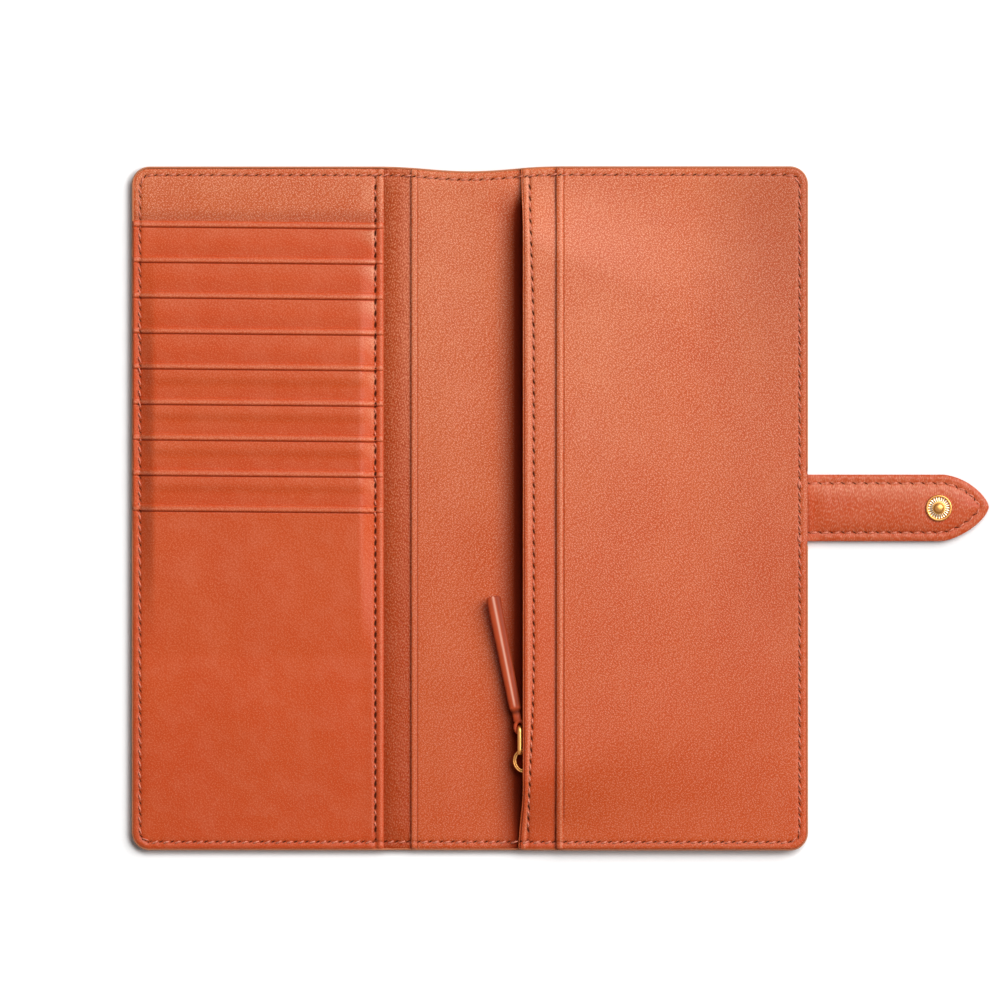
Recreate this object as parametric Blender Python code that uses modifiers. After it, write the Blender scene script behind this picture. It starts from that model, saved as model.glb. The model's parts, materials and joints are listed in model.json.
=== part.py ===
# A travel-length continental wallet, lying open like a book with its strap out to the right.
# +X runs across the open wallet towards the strap, +Y up the page, +Z up from the table.
# The origin is the middle of the spine, on the table.

import math

import bmesh
import bpy

MM = 0.001
GAP = 0.3 * MM

# Covers, seen open
HALF_HEIGHT = 125.2 * MM
FRONT_EDGE = -123.7 * MM
BACK_EDGE = 123.9 * MM
CORNER_RADIUS = 6.6 * MM
TOP_DIP = 1.7 * MM
TOP_DIP_REACH = 32.0 * MM
LAYER_INSET = 0.4 * MM
BOARD_INSET = 6.5 * MM
BOARD_INNER = 30.0 * MM
BACK_BOARD_OUTER = 112.0 * MM
FRONT_BOARD_OUTER = -116.0 * MM

# The two fold lines of the spine: their distance from the middle, and the height they turn about
FOLD_X = 5.5 * MM
FOLD_Z = 4.6 * MM

# Layers, bottom to top
OUTER_LEATHER = (0.0, 1.2 * MM)
BOARD = (1.5 * MM, 2.3 * MM)
LINING = (2.6 * MM, 3.2 * MM)
DIVIDER = (3.5 * MM, 4.1 * MM)
DIVIDER_EDGE = -21.3 * MM

# Card panel
CARD_INNER = -31.4 * MM
CARD_BACKING = (3.5 * MM, 3.9 * MM)
CARD_FLOOR = 4.2 * MM
CARD_LEATHER = 0.4 * MM
CARD_STEP = CARD_LEATHER + GAP
CARD_POCKETS = 8
CARD_TOP = 104.9 * MM
CARD_PITCH = 13.0 * MM
CARD_DEPTH = 56.0 * MM
CARD_BAND = 12.6 * MM
CARD_RAMP = 4.0 * MM
CARD_RAMP_START = 0.8 * MM
CARD_ROW_SPACING = 0.4 * MM
CARD_SEAM = 3.0 * MM
CARD_DROOP = 6.0 * MM

# Zip pocket and note pocket
POCKET_LOWER = (4.4 * MM, 4.9 * MM)
POCKET_LOWER_EDGE = 20.6 * MM
POCKET_FLOOR = 5.2 * MM
POCKET_WALL = 0.8 * MM
ZIP_WALL_EDGE = 19.5 * MM
ZIP_WALL_END_EDGE = 18.2 * MM
NOTE_POCKET_EDGE = 31.7 * MM
MOUTH_RISE = 6.6 * MM
RISE_START = 18.0 * MM
RISE_END = 118.0 * MM
END_SEAM = 122.0 * MM
END_RAMP = 24.0 * MM

# Grid lines of the sheets, as parts of a slope, a corner or a wall
DROOP_PARTS = (0.0, 0.35, 0.65, 1.0)
RAMP_PARTS = (0.0, 0.25, 0.5, 0.75, 1.0)
CORNER_PARTS = (0.0, 0.3, 0.6, 0.8)
WALL_COLUMNS = (0.0, 0.12, 0.25, 0.4, 0.55, 0.7, 0.85, 0.94, 1.0)
WALL_MIDDLE_ROWS = (0.3, 0.5, 0.7)

# Zip
ZIP_X = 22.0 * MM
ZIP_Z = 8.1 * MM
ZIP_HALF_LENGTH = 98.4 * MM
TAPE_THICKNESS = 0.6 * MM
TAPE_FLANGE_END = 26.0 * MM
TAPE_LOWER = (5.2 * MM, 5.5 * MM, 6.0 * MM)
TAPE_UPPER = (10.95 * MM, 10.65 * MM, 10.2 * MM)
TEETH_TIP = 0.7 * MM
TEETH_ROOT = 1.4 * MM
TEETH_BACK = 1.8 * MM
TEETH_PITCH = 2.5 * MM
TEETH_HALF_WIDTH = 1.05 * MM
TEETH_HALF_LENGTH = 96.25 * MM
STOP_LENGTH = 1.2 * MM

# Slider, bail, link and puller; the slider starts at the foot of the zip
SLIDER_Y = -92.2 * MM
SLIDER_HALF_LENGTH = 4.5 * MM
SLIDER_HALF_HEIGHT = 2.3 * MM
SLIDER_FRONT = (19.7 * MM, 20.5 * MM)
SLIDER_BACK = (23.6 * MM, 24.4 * MM)
SLIDER_POST = (0.5 * MM, 3.7 * MM)
BAIL_REACH = 15.9 * MM
BAIL_HALF_LENGTH = 4.7 * MM
BAIL_WALL = 1.16 * MM
BAIL_ROUND = 2.2 * MM
BAIL_HALF_THICKNESS = 0.7 * MM
LINK_WIRE = 0.65 * MM
LINK_X = 18.4 * MM
LINK_FOOT_Y = -89.6 * MM
LINK_HEAD_Y = -79.9 * MM
LINK_HALF_HEIGHT = 2.2 * MM
LINK_BEND = 1.2 * MM
PULLER_HALF_THICKNESS = 1.2 * MM
PULLER_EYE = 1.0 * MM
PULLER_EYE_WALL = 1.2 * MM
PULLER_NECK = (17.2 * MM, -75.2 * MM)
PULLER_TIP = (8.6 * MM, -32.0 * MM)
PULLER_NECK_HALF_WIDTH = 1.6 * MM
PULLER_HALF_WIDTH = 2.25 * MM
PULLER_SHOULDER = 2.2 * MM

# Strap
STRAP_Y = 0.2 * MM
STRAP_HALF_WIDTH = 12.2 * MM
STRAP_ROOT_X = 113.0 * MM
STRAP_SKIVED_END = 123.7 * MM
STRAP_NECK_X = 125.2 * MM
STRAP_BEND_X = 143.0 * MM
STRAP_TIP_X = 190.3 * MM
STRAP_POINT_LENGTH = 22.3 * MM
STRAP_OUTER = (1.5 * MM, 2.45 * MM)
STRAP_INNER = (2.75 * MM, 3.7 * MM)
STRAP_OUTER_SKIVED = 2.2 * MM
STRAP_INNER_SKIVED = (2.5 * MM, 3.2 * MM)
STRAP_NOTCH = (2.0 * MM, 5.0 * MM)

# Snap
STUD_X = 171.9 * MM
STUD_FLANGE = 4.85 * MM
STUD_KNOB = 1.7 * MM
STUD_POST = 1.2 * MM
STUD_TOP = 6.3 * MM
STUD_FLANGE_THICKNESS = 0.6 * MM
STUD_FOOT = 1.6 * MM
STUD_BORE = 0.75 * MM
STUD_BORE_TOP = 3.2 * MM
CAP_RADIUS = 5.6 * MM
CAP_FOOT = 0.1 * MM
CAP_PIN = 0.45 * MM
CAP_PIN_TOP = 2.9 * MM
SOCKET_X = STUD_X - STRAP_BEND_X - STRAP_NECK_X
SOCKET_RADIUS = 5.0 * MM
SOCKET_BORE = 2.1 * MM
SOCKET_WALL = 0.5 * MM
SOCKET_FACE = (0.05 * MM, 0.5 * MM)
SOCKET_NECK_TOP = 1.25 * MM
SOCKET_SEAT_DEPTH = 0.8 * MM
SOCKET_PLATE = 4.0 * MM
SOCKET_PLATE_LAYER = (1.55 * MM, 2.1 * MM)
ROUND_STEPS = 28

scene_objects = list(bpy.data.objects)
for old in scene_objects:
    bpy.data.objects.remove(old, do_unlink=True)

wallet = bpy.data.collections.new("continental_wallet")
cutters = bpy.data.collections.new("cutters")
cutters.hide_render = True
bpy.context.scene.collection.children.link(wallet)
bpy.context.scene.collection.children.link(cutters)


# Materials

def make_material(name, colour, roughness, metallic=0.0):
    made = bpy.data.materials.new(name)
    made.use_nodes = True
    shader = made.node_tree.nodes["Principled BSDF"]
    shader.inputs["Base Color"].default_value = (*colour, 1.0)
    shader.inputs["Roughness"].default_value = roughness
    shader.inputs["Metallic"].default_value = metallic
    return made


outer_leather = make_material("orange_leather_outside", (0.56, 0.13, 0.055), 0.5)
pocket_leather = make_material("orange_leather_pockets", (0.62, 0.15, 0.06), 0.45)
lining_leather = make_material("pebbled_lining", (0.50, 0.12, 0.055), 0.55)
puller_leather = make_material("glazed_leather", (0.60, 0.12, 0.05), 0.2)
stiff_board = make_material("fibre_board", (0.35, 0.26, 0.18), 0.9)
tape_cloth = make_material("zip_tape", (0.42, 0.10, 0.05), 0.8)
brass = make_material("gilt_brass", (0.78, 0.50, 0.20), 0.22, 1.0)


# Bodies: an empty on each joint's axis carries what moves with it

def make_body(name, place, parent=None):
    empty = bpy.data.objects.new(name, None)
    wallet.objects.link(empty)
    empty.empty_display_size = 5 * MM
    empty.location = place
    bpy.context.view_layer.update()
    if parent:
        empty.parent = parent
        empty.matrix_parent_inverse = parent.matrix_world.inverted()
        bpy.context.view_layer.update()
    return empty


back_cover = make_body("back_cover", (0.0, 0.0, 0.0))
spine = make_body("spine", (FOLD_X, 0.0, FOLD_Z), back_cover)
front_cover = make_body("front_cover", (-FOLD_X, 0.0, FOLD_Z), spine)
strap_neck = make_body("strap_neck", (STRAP_NECK_X, STRAP_Y, STRAP_INNER[1]), back_cover)
strap_tip = make_body("strap_tip", (STRAP_BEND_X, STRAP_Y, STRAP_INNER[1]), strap_neck)
slider_axis = make_body("slider", (ZIP_X, SLIDER_Y, ZIP_Z), back_cover)
link_axis = make_body("link", (LINK_X, LINK_FOOT_Y, ZIP_Z), slider_axis)
puller_axis = make_body("pull", (LINK_X, LINK_HEAD_Y, ZIP_Z), link_axis)


# Shared making steps

def settle(obj, body, finish):
    obj.data.materials.clear()
    obj.data.materials.append(finish)
    if obj.name not in wallet.objects:
        wallet.objects.link(obj)
    bpy.context.view_layer.update()
    obj.parent = body
    obj.matrix_parent_inverse = body.matrix_world.inverted()
    return obj


def flat_curve(name, outlines, bottom, top):
    """A flat plate: closed outlines in the XY plane, thick from bottom to top."""
    curve = bpy.data.curves.new(name, "CURVE")
    curve.dimensions = "2D"
    curve.fill_mode = "BOTH"
    curve.extrude = (top - bottom) / 2
    for outline in outlines:
        spline = curve.splines.new("POLY")
        spline.points.add(len(outline) - 1)
        for point, (x, y) in zip(spline.points, outline):
            point.co = (x, y, 0.0, 1.0)
        spline.use_cyclic_u = True
    obj = bpy.data.objects.new(name, curve)
    obj.location.z = (bottom + top) / 2
    wallet.objects.link(obj)
    return obj


def along_y(name, profile, low, high):
    """A bar with the same XZ profile from low to high along Y."""
    obj = flat_curve(name, [profile], 0.0, high - low)
    obj.rotation_euler.x = math.pi / 2
    obj.location = (0.0, (low + high) / 2, 0.0)
    return obj


def made_mesh(obj):
    """The curve object as a mesh object of the same name and place, with its caps welded."""
    bpy.context.view_layer.update()
    graph = bpy.context.evaluated_depsgraph_get()
    mesh = bpy.data.meshes.new_from_object(obj.evaluated_get(graph))
    place = obj.matrix_world.copy()
    name = obj.name
    bpy.data.objects.remove(obj, do_unlink=True)
    body = bmesh.new()
    body.from_mesh(mesh)
    bmesh.ops.remove_doubles(body, verts=body.verts, dist=0.001 * MM)
    bmesh.ops.recalc_face_normals(body, faces=body.faces)
    body.to_mesh(mesh)
    body.free()
    solid = bpy.data.objects.new(name, mesh)
    solid.matrix_world = place
    wallet.objects.link(solid)
    return solid


def box(name, low, high):
    mesh = bpy.data.meshes.new(name)
    body = bmesh.new()
    bmesh.ops.create_cube(body, size=1.0)
    for vertex in body.verts:
        for axis in range(3):
            vertex.co[axis] = low[axis] if vertex.co[axis] < 0 else high[axis]
    body.to_mesh(mesh)
    body.free()
    obj = bpy.data.objects.new(name, mesh)
    wallet.objects.link(obj)
    return obj


def rod(name, x, y, radius, bottom, top):
    mesh = bpy.data.meshes.new(name)
    body = bmesh.new()
    bmesh.ops.create_cone(
        body,
        cap_ends=True,
        segments=ROUND_STEPS,
        radius1=radius,
        radius2=radius,
        depth=top - bottom,
    )
    body.to_mesh(mesh)
    body.free()
    obj = bpy.data.objects.new(name, mesh)
    obj.location = (x, y, (bottom + top) / 2)
    wallet.objects.link(obj)
    return obj


def as_cutter(obj):
    wallet.objects.unlink(obj)
    cutters.objects.link(obj)
    obj.hide_render = True
    obj.display_type = "WIRE"
    return obj


def combine(obj, other, operation):
    step = obj.modifiers.new(operation.lower() + "_" + other.name, "BOOLEAN")
    step.operation = operation
    step.solver = "EXACT"
    step.object = as_cutter(other)


def turned(name, x, y, profile, closed=False):
    """A turned piece: (radius, height) points down the outer side, spun about a vertical axis."""
    mesh = bpy.data.meshes.new(name)
    body = bmesh.new()
    points = [body.verts.new((radius, 0.0, height)) for radius, height in profile]
    ends = points[1:] + points[:1] if closed else points[1:]
    for start, end in zip(points, ends):
        body.edges.new((start, end))
    body.to_mesh(mesh)
    body.free()
    obj = bpy.data.objects.new(name, mesh)
    obj.location = (x, y, 0.0)
    wallet.objects.link(obj)
    spin = obj.modifiers.new("spin", "SCREW")
    spin.steps = ROUND_STEPS
    spin.render_steps = ROUND_STEPS
    spin.use_merge_vertices = True
    spin.merge_threshold = 0.001 * MM
    spin.use_normal_calculate = not closed
    return obj


def arc(x, y, radius, start, end, steps=6):
    angles = [math.radians(start + (end - start) * i / steps) for i in range(steps + 1)]
    return [(x + radius * math.cos(a), y + radius * math.sin(a)) for a in angles]


def blend(t):
    """Smooth step from 0 to 1."""
    t = min(max(t, 0.0), 1.0)
    return t * t * (3 - 2 * t)


# Outline of the covers

def top_edge(x):
    """The top edge dips a little over the spine, where the two covers meet."""
    if abs(x) >= TOP_DIP_REACH:
        return HALF_HEIGHT
    return HALF_HEIGHT - TOP_DIP * math.cos(math.pi * x / (2 * TOP_DIP_REACH)) ** 2


def cover_outline(left, right, inset=0.0, round_left=False, round_right=False):
    radius = max(CORNER_RADIUS - inset, 1 * MM)
    bottom = -HALF_HEIGHT + inset
    top = HALF_HEIGHT - inset
    points = []
    if round_left:
        points += arc(left + radius, bottom + radius, radius, 180, 270)
    else:
        points.append((left, bottom))
    if round_right:
        points += arc(right - radius, bottom + radius, radius, 270, 360)
        points += arc(right - radius, top - radius, radius, 0, 90)
    else:
        points.append((right, bottom))
        points.append((right, top_edge(right) - inset))
    steps = 12
    for i in range(steps - 1, 0, -1):
        x = TOP_DIP_REACH * (2 * i / steps - 1)
        if left + radius < x < right - 1 * MM:
            points.append((x, top_edge(x) - inset))
    if round_left:
        points += arc(left + radius, top - radius, radius, 90, 180)
    else:
        points.append((left, top_edge(left) - inset))
    return points


def corner_pull(y, inset):
    """How far the rounded corner draws the side edge in, at this height up the page."""
    radius = CORNER_RADIUS - inset
    into = abs(y) - (HALF_HEIGHT - inset - radius)
    if into <= 0:
        return 0.0
    return radius - math.sqrt(max(radius * radius - into * into, 0.0))


def cover_layers(name, layer, inset, finish):
    """The same layer in both covers and in the spine, cut at the fold lines."""
    half_gap = GAP / 2
    made = {}
    spans = {
        "back": (FOLD_X + half_gap, BACK_EDGE - inset, back_cover, False, True),
        "spine": (-FOLD_X + half_gap, FOLD_X - half_gap, spine, False, False),
        "front": (FRONT_EDGE + inset, -FOLD_X - half_gap, front_cover, True, False),
    }
    for side, (left, right, body, round_left, round_right) in spans.items():
        outline = cover_outline(left, right, inset, round_left, round_right)
        plate = made_mesh(flat_curve(f"{side}_{name}", [outline], *layer))
        made[side] = settle(plate, body, finish)
    return made


# Outer leather, with the seat of the snap socket let into the front

shells = cover_layers("outer_leather", OUTER_LEATHER, 0.0, outer_leather)
neck_radius = SOCKET_BORE + SOCKET_WALL
seat = rod("socket_seat", SOCKET_X, STRAP_Y, SOCKET_RADIUS + GAP, -SOCKET_SEAT_DEPTH, SOCKET_SEAT_DEPTH)
neck_hole = rod("socket_hole", SOCKET_X, STRAP_Y, neck_radius + GAP, 0.0, LINING[0])
combine(shells["front"], seat, "DIFFERENCE")
combine(shells["front"], neck_hole, "DIFFERENCE")

# Boards

back_outline = cover_outline(BOARD_INNER, BACK_BOARD_OUTER, BOARD_INSET)
front_outline = cover_outline(FRONT_BOARD_OUTER, -BOARD_INNER, BOARD_INSET)
plate_seat = [arc(SOCKET_X, STRAP_Y, SOCKET_PLATE + GAP, 0, 360 * (1 - 1 / 20), 19)]
settle(flat_curve("back_board", [back_outline], *BOARD), back_cover, stiff_board)
settle(flat_curve("front_board", [front_outline] + plate_seat, *BOARD), front_cover, stiff_board)

# Lining, notched in the back cover where the strap is sewn in

linings = cover_layers("lining", LINING, LAYER_INSET, lining_leather)
notch = box(
    "strap_notch",
    (STRAP_ROOT_X - GAP, STRAP_Y - STRAP_HALF_WIDTH - GAP, STRAP_NOTCH[0]),
    (STRAP_TIP_X, STRAP_Y + STRAP_HALF_WIDTH + GAP, STRAP_NOTCH[1]),
)
combine(linings["back"], notch, "DIFFERENCE")

# Note divider: from its folded edge on the front cover, over the spine, to the right seam

half_gap = GAP / 2
divider_spans = {
    "note_divider_edge": (DIVIDER_EDGE, -FOLD_X - half_gap, front_cover, False),
    "note_divider_spine": (-FOLD_X + half_gap, FOLD_X - half_gap, spine, False),
    "note_divider_back": (FOLD_X + half_gap, BACK_EDGE - LAYER_INSET, back_cover, True),
}
for name, (left, right, body, rounded) in divider_spans.items():
    outline = cover_outline(left, right, LAYER_INSET, False, rounded)
    settle(flat_curve(name, [outline], *DIVIDER), body, pocket_leather)


# Sheets that rise and fall: a grid on the cover's outline, thickened upwards

def sheet(name, columns, rows, place, thickness, keep=None):
    mesh = bpy.data.meshes.new(name)
    body = bmesh.new()
    bmesh.ops.create_grid(body, x_segments=len(columns) - 1, y_segments=len(rows) - 1, size=1.0)
    across = len(columns) - 1
    up = len(rows) - 1
    middles = {}
    for face in body.faces:
        centre = face.calc_center_median()
        column = int((centre.x + 1) / 2 * across)
        row = int((centre.y + 1) / 2 * up)
        middles[face] = (
            (columns[column] + columns[column + 1]) / 2,
            (rows[row] + rows[row + 1]) / 2,
        )
    for vertex in body.verts:
        column = columns[round((vertex.co.x + 1) / 2 * across)]
        row = rows[round((vertex.co.y + 1) / 2 * up)]
        vertex.co = place(column, row)
    if keep:
        unwanted = [face for face, (x, y) in middles.items() if not keep(x, y)]
        bmesh.ops.delete(body, geom=unwanted, context="FACES")
    body.to_mesh(mesh)
    body.free()
    obj = bpy.data.objects.new(name, mesh)
    wallet.objects.link(obj)
    thick = obj.modifiers.new("leather", "SOLIDIFY")
    thick.thickness = thickness
    thick.offset = 1.0
    return obj


# Card panel

def pocket_top(number):
    return CARD_TOP - CARD_PITCH * (number - 1)


def layers_beneath(number, y):
    """How many pocket sheets lie under this one at y. Each ends CARD_DEPTH below its own top edge."""
    count = 0.0
    for below in range(1, number):
        end = pocket_top(below) - CARD_DEPTH
        count += blend((y - end + CARD_RAMP + CARD_RAMP_START) / CARD_RAMP)
    return count


def side_droop(x):
    """0 at the two side seams of the card panel, 1 over the cards."""
    left = (x - (FRONT_EDGE + CARD_SEAM)) / CARD_DROOP
    right = ((CARD_INNER - CARD_SEAM) - x) / CARD_DROOP
    return blend(min(left, right))


def card_height(number, x, y):
    return CARD_FLOOR + CARD_STEP * layers_beneath(number, y) * side_droop(x)


card_left = FRONT_EDGE + LAYER_INSET
body_left = FRONT_EDGE + CARD_SEAM + CARD_DROOP
body_right = CARD_INNER - CARD_SEAM - CARD_DROOP
card_columns = [card_left]
card_columns += [FRONT_EDGE + CARD_SEAM + CARD_DROOP * part for part in DROOP_PARTS]
card_columns += [CARD_INNER - CARD_SEAM - CARD_DROOP * part for part in reversed(DROOP_PARTS)]
card_columns += [CARD_INNER]


def ramp_rows(number, low, high):
    """Row heights for one sheet: its ends, and the slopes where sheets beneath it end."""
    rows = {low, high}
    for below in range(1, number):
        start = pocket_top(below) - CARD_DEPTH - CARD_RAMP_START
        for part in RAMP_PARTS:
            row = start - CARD_RAMP * part
            if low + CARD_ROW_SPACING < row < high - CARD_ROW_SPACING:
                rows.add(row)
    return sorted(rows)


backing = cover_outline(card_left, CARD_INNER, LAYER_INSET, True, False)
settle(flat_curve("card_backing", [backing], *CARD_BACKING), front_cover, pocket_leather)

for number in range(1, CARD_POCKETS + 1):
    top = pocket_top(number)
    foot = top - CARD_DEPTH
    band_end = top - CARD_BAND
    rows = [row for row in ramp_rows(number, foot, top) if abs(row - band_end) > CARD_ROW_SPACING]
    rows = sorted(rows + [band_end])

    def pocket_place(x, y, number=number):
        return (x, y, card_height(number, x, y))

    def in_pocket(x, y, band_end=band_end):
        return y > band_end or body_left < x < body_right

    pocket = sheet(f"card_pocket_{number}", card_columns, rows, pocket_place, CARD_LEATHER, in_pocket)
    settle(pocket, front_cover, pocket_leather)

panel_number = CARD_POCKETS + 1
panel_rows = ramp_rows(panel_number, -HALF_HEIGHT + LAYER_INSET, pocket_top(panel_number))
corner_start = -HALF_HEIGHT + CORNER_RADIUS
corner_rows = [corner_start - CORNER_RADIUS * part for part in CORNER_PARTS]
panel_rows = sorted(set(panel_rows) | set(corner_rows))


def panel_place(x, y):
    """The panel's left edge follows the cover's rounded corner."""
    share = (CARD_INNER - x) / (CARD_INNER - card_left)
    return (x + share * corner_pull(y, LAYER_INSET), y, card_height(panel_number, x, y))


panel = sheet("card_front_panel", card_columns, panel_rows, panel_place, CARD_LEATHER)
settle(panel, front_cover, pocket_leather)


# Zip pocket and note pocket

lower = cover_outline(POCKET_LOWER_EDGE, BACK_EDGE - LAYER_INSET, LAYER_INSET, False, True)
lower_wall = flat_curve("zip_pocket_lower_wall", [lower], *POCKET_LOWER)
settle(lower_wall, back_cover, lining_leather)


def mouth_rise(x, y):
    """How far the zip stands the pocket open: most at the mouth, none at the other three seams."""
    across = min(max((RISE_END - x) / (RISE_END - RISE_START), 0.0), 1.0)
    return MOUTH_RISE * across * blend((END_SEAM - abs(y)) / END_RAMP)


def zip_wall_edge(y):
    return ZIP_WALL_END_EDGE + (ZIP_WALL_EDGE - ZIP_WALL_END_EDGE) * blend((HALF_HEIGHT - abs(y)) / END_RAMP)


def wall_place(edge, height):
    """A point of a wall: u runs from its free edge to the right seam, v from bottom to top."""
    def place(u, v):
        nominal = (-HALF_HEIGHT + LAYER_INSET) * (1 - v) + (HALF_HEIGHT - LAYER_INSET) * v
        right = BACK_EDGE - LAYER_INSET - corner_pull(nominal, LAYER_INSET)
        x = edge(nominal) * (1 - u) + right * u
        y = (-HALF_HEIGHT + LAYER_INSET) * (1 - v) + (top_edge(x) - LAYER_INSET) * v
        return (x, y, height + mouth_rise(x, y))
    return place


corner_share = CORNER_RADIUS / (2 * HALF_HEIGHT)
ramp_share = (HALF_HEIGHT - END_SEAM + END_RAMP) / (2 * HALF_HEIGHT)
end_shares = [0.0, corner_share * 0.2, corner_share * 0.5, corner_share]
end_shares += [corner_share + (ramp_share - corner_share) * i / 5 for i in range(1, 6)]
wall_rows = end_shares + list(WALL_MIDDLE_ROWS) + [1 - share for share in reversed(end_shares)]

upper_wall = sheet(
    "zip_pocket_upper_wall",
    WALL_COLUMNS,
    wall_rows,
    wall_place(zip_wall_edge, POCKET_FLOOR),
    POCKET_WALL,
)
settle(upper_wall, back_cover, pocket_leather)

note_floor = POCKET_FLOOR + POCKET_WALL + GAP
note_wall = sheet(
    "note_pocket_panel",
    WALL_COLUMNS,
    wall_rows,
    wall_place(lambda y: NOTE_POCKET_EDGE, note_floor),
    POCKET_WALL,
)
settle(note_wall, back_cover, pocket_leather)

# Zip tapes: an upright strip that holds the teeth, and a flange sewn to the wall

for name, (seam, flange, end) in {"lower": TAPE_LOWER, "upper": TAPE_UPPER}.items():
    near = ZIP_X - TAPE_THICKNESS / 2
    far = ZIP_X + TAPE_THICKNESS / 2
    profile = [(near, seam), (TAPE_FLANGE_END, seam), (TAPE_FLANGE_END, flange)]
    profile += [(far, flange), (far, end), (near, end)]
    tape = along_y(f"zip_tape_{name}", profile, -ZIP_HALF_LENGTH, ZIP_HALF_LENGTH)
    settle(tape, back_cover, tape_cloth)


# Teeth: one comb a side

def teeth_outline(side):
    """A comb in the plane of the zip, its points towards the other row. Returned as (y, z)."""
    count = int(round(2 * TEETH_HALF_LENGTH / TEETH_PITCH))
    step = 2 * TEETH_HALF_LENGTH / count
    tip = ZIP_Z + side * TEETH_TIP
    root = ZIP_Z + side * TEETH_ROOT
    back = ZIP_Z + side * TEETH_BACK
    points = [(TEETH_HALF_LENGTH, back), (-TEETH_HALF_LENGTH, back)]
    for i in range(count):
        start = -TEETH_HALF_LENGTH + i * step
        points.append((start + step * 0.25, root))
        points.append((start + step * 0.25, tip))
        points.append((start + step * 0.75, tip))
        points.append((start + step * 0.75, root))
    points.insert(2, (-TEETH_HALF_LENGTH, root))
    points.append((TEETH_HALF_LENGTH, root))
    return points


def in_zip_plane(name, outline, half_width):
    """An outline in (y, z), thick along X about the zip's plane."""
    obj = flat_curve(name, [outline], -half_width, half_width)
    obj.rotation_euler = (math.pi / 2, 0.0, math.pi / 2)
    obj.location = (ZIP_X, 0.0, 0.0)
    return obj


for name, side in {"lower": -1, "upper": 1}.items():
    teeth = in_zip_plane(f"zip_teeth_{name}", teeth_outline(side), TEETH_HALF_WIDTH)
    settle(teeth, back_cover, brass)

stop_near = ZIP_X - TEETH_HALF_WIDTH
stop_far = ZIP_X + TEETH_HALF_WIDTH
bottom_stop = box(
    "zip_bottom_stop",
    (stop_near, -ZIP_HALF_LENGTH, ZIP_Z - TEETH_BACK),
    (stop_far, -ZIP_HALF_LENGTH + STOP_LENGTH, ZIP_Z + TEETH_BACK),
)
settle(bottom_stop, back_cover, brass)
for name, side in {"lower": -1, "upper": 1}.items():
    near, far = sorted((side * TEETH_TIP, side * TEETH_BACK))
    top_stop = box(
        f"zip_top_stop_{name}",
        (stop_near, ZIP_HALF_LENGTH - STOP_LENGTH, ZIP_Z + near),
        (stop_far, ZIP_HALF_LENGTH, ZIP_Z + far),
    )
    settle(top_stop, back_cover, brass)

# Slider: two plates joined by a post between the rows, and a bail on the front plate

slider = box(
    "zip_slider",
    (SLIDER_FRONT[0], SLIDER_Y - SLIDER_HALF_LENGTH, ZIP_Z - SLIDER_HALF_HEIGHT),
    (SLIDER_FRONT[1], SLIDER_Y + SLIDER_HALF_LENGTH, ZIP_Z + SLIDER_HALF_HEIGHT),
)
slider_back = box(
    "slider_back_plate",
    (SLIDER_BACK[0], SLIDER_Y - SLIDER_HALF_LENGTH, ZIP_Z - SLIDER_HALF_HEIGHT),
    (SLIDER_BACK[1], SLIDER_Y + SLIDER_HALF_LENGTH, ZIP_Z + SLIDER_HALF_HEIGHT),
)
post_half = TEETH_TIP - GAP
post = box(
    "slider_post",
    (SLIDER_FRONT[0] + GAP, SLIDER_Y + SLIDER_POST[0], ZIP_Z - post_half),
    (SLIDER_BACK[1] - GAP, SLIDER_Y + SLIDER_POST[1], ZIP_Z + post_half),
)
bail_x = SLIDER_FRONT[0] + 0.5 * MM
bail_outer = [(bail_x, SLIDER_Y + BAIL_HALF_LENGTH)]
bend_x = BAIL_REACH + BAIL_ROUND
bend_y = BAIL_HALF_LENGTH - BAIL_ROUND
bail_outer += arc(bend_x, SLIDER_Y + bend_y, BAIL_ROUND, 90, 180)
bail_outer += arc(bend_x, SLIDER_Y - bend_y, BAIL_ROUND, 180, 270)
bail_outer += [(bail_x, SLIDER_Y - BAIL_HALF_LENGTH)]
bail_inner = [(SLIDER_FRONT[0] - GAP, SLIDER_Y + BAIL_HALF_LENGTH - BAIL_WALL)]
hole_round = BAIL_ROUND - BAIL_WALL
hole_x = BAIL_REACH + BAIL_WALL + hole_round
hole_y = BAIL_HALF_LENGTH - BAIL_WALL - hole_round
bail_inner += arc(hole_x, SLIDER_Y + hole_y, hole_round, 90, 180)
bail_inner += arc(hole_x, SLIDER_Y - hole_y, hole_round, 180, 270)
bail_inner += [(SLIDER_FRONT[0] - GAP, SLIDER_Y - BAIL_HALF_LENGTH + BAIL_WALL)]
bail = flat_curve(
    "slider_bail",
    [bail_outer, bail_inner],
    ZIP_Z - BAIL_HALF_THICKNESS,
    ZIP_Z + BAIL_HALF_THICKNESS,
)
combine(slider, slider_back, "UNION")
combine(slider, post, "UNION")
combine(slider, made_mesh(bail), "UNION")
settle(slider, slider_axis, brass)

# Wire link: a rounded oblong ring that stands through the bail and through the puller's eye

link_curve = bpy.data.curves.new("pull_link", "CURVE")
link_curve.dimensions = "3D"
link_curve.bevel_depth = LINK_WIRE
link_curve.bevel_resolution = 2
foot = LINK_FOOT_Y + LINK_BEND
head = LINK_HEAD_Y - LINK_BEND
side = LINK_HALF_HEIGHT - LINK_BEND
ring = arc(head, side, LINK_BEND, 0, 90, 4) + arc(foot, side, LINK_BEND, 90, 180, 4)
ring += arc(foot, -side, LINK_BEND, 180, 270, 4) + arc(head, -side, LINK_BEND, 270, 360, 4)
ring_spline = link_curve.splines.new("POLY")
ring_spline.points.add(len(ring) - 1)
for point, (y, z) in zip(ring_spline.points, ring):
    point.co = (LINK_X, y, ZIP_Z + z, 1.0)
ring_spline.use_cyclic_u = True
link = bpy.data.objects.new("pull_link", link_curve)
settle(link, link_axis, brass)

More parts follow.
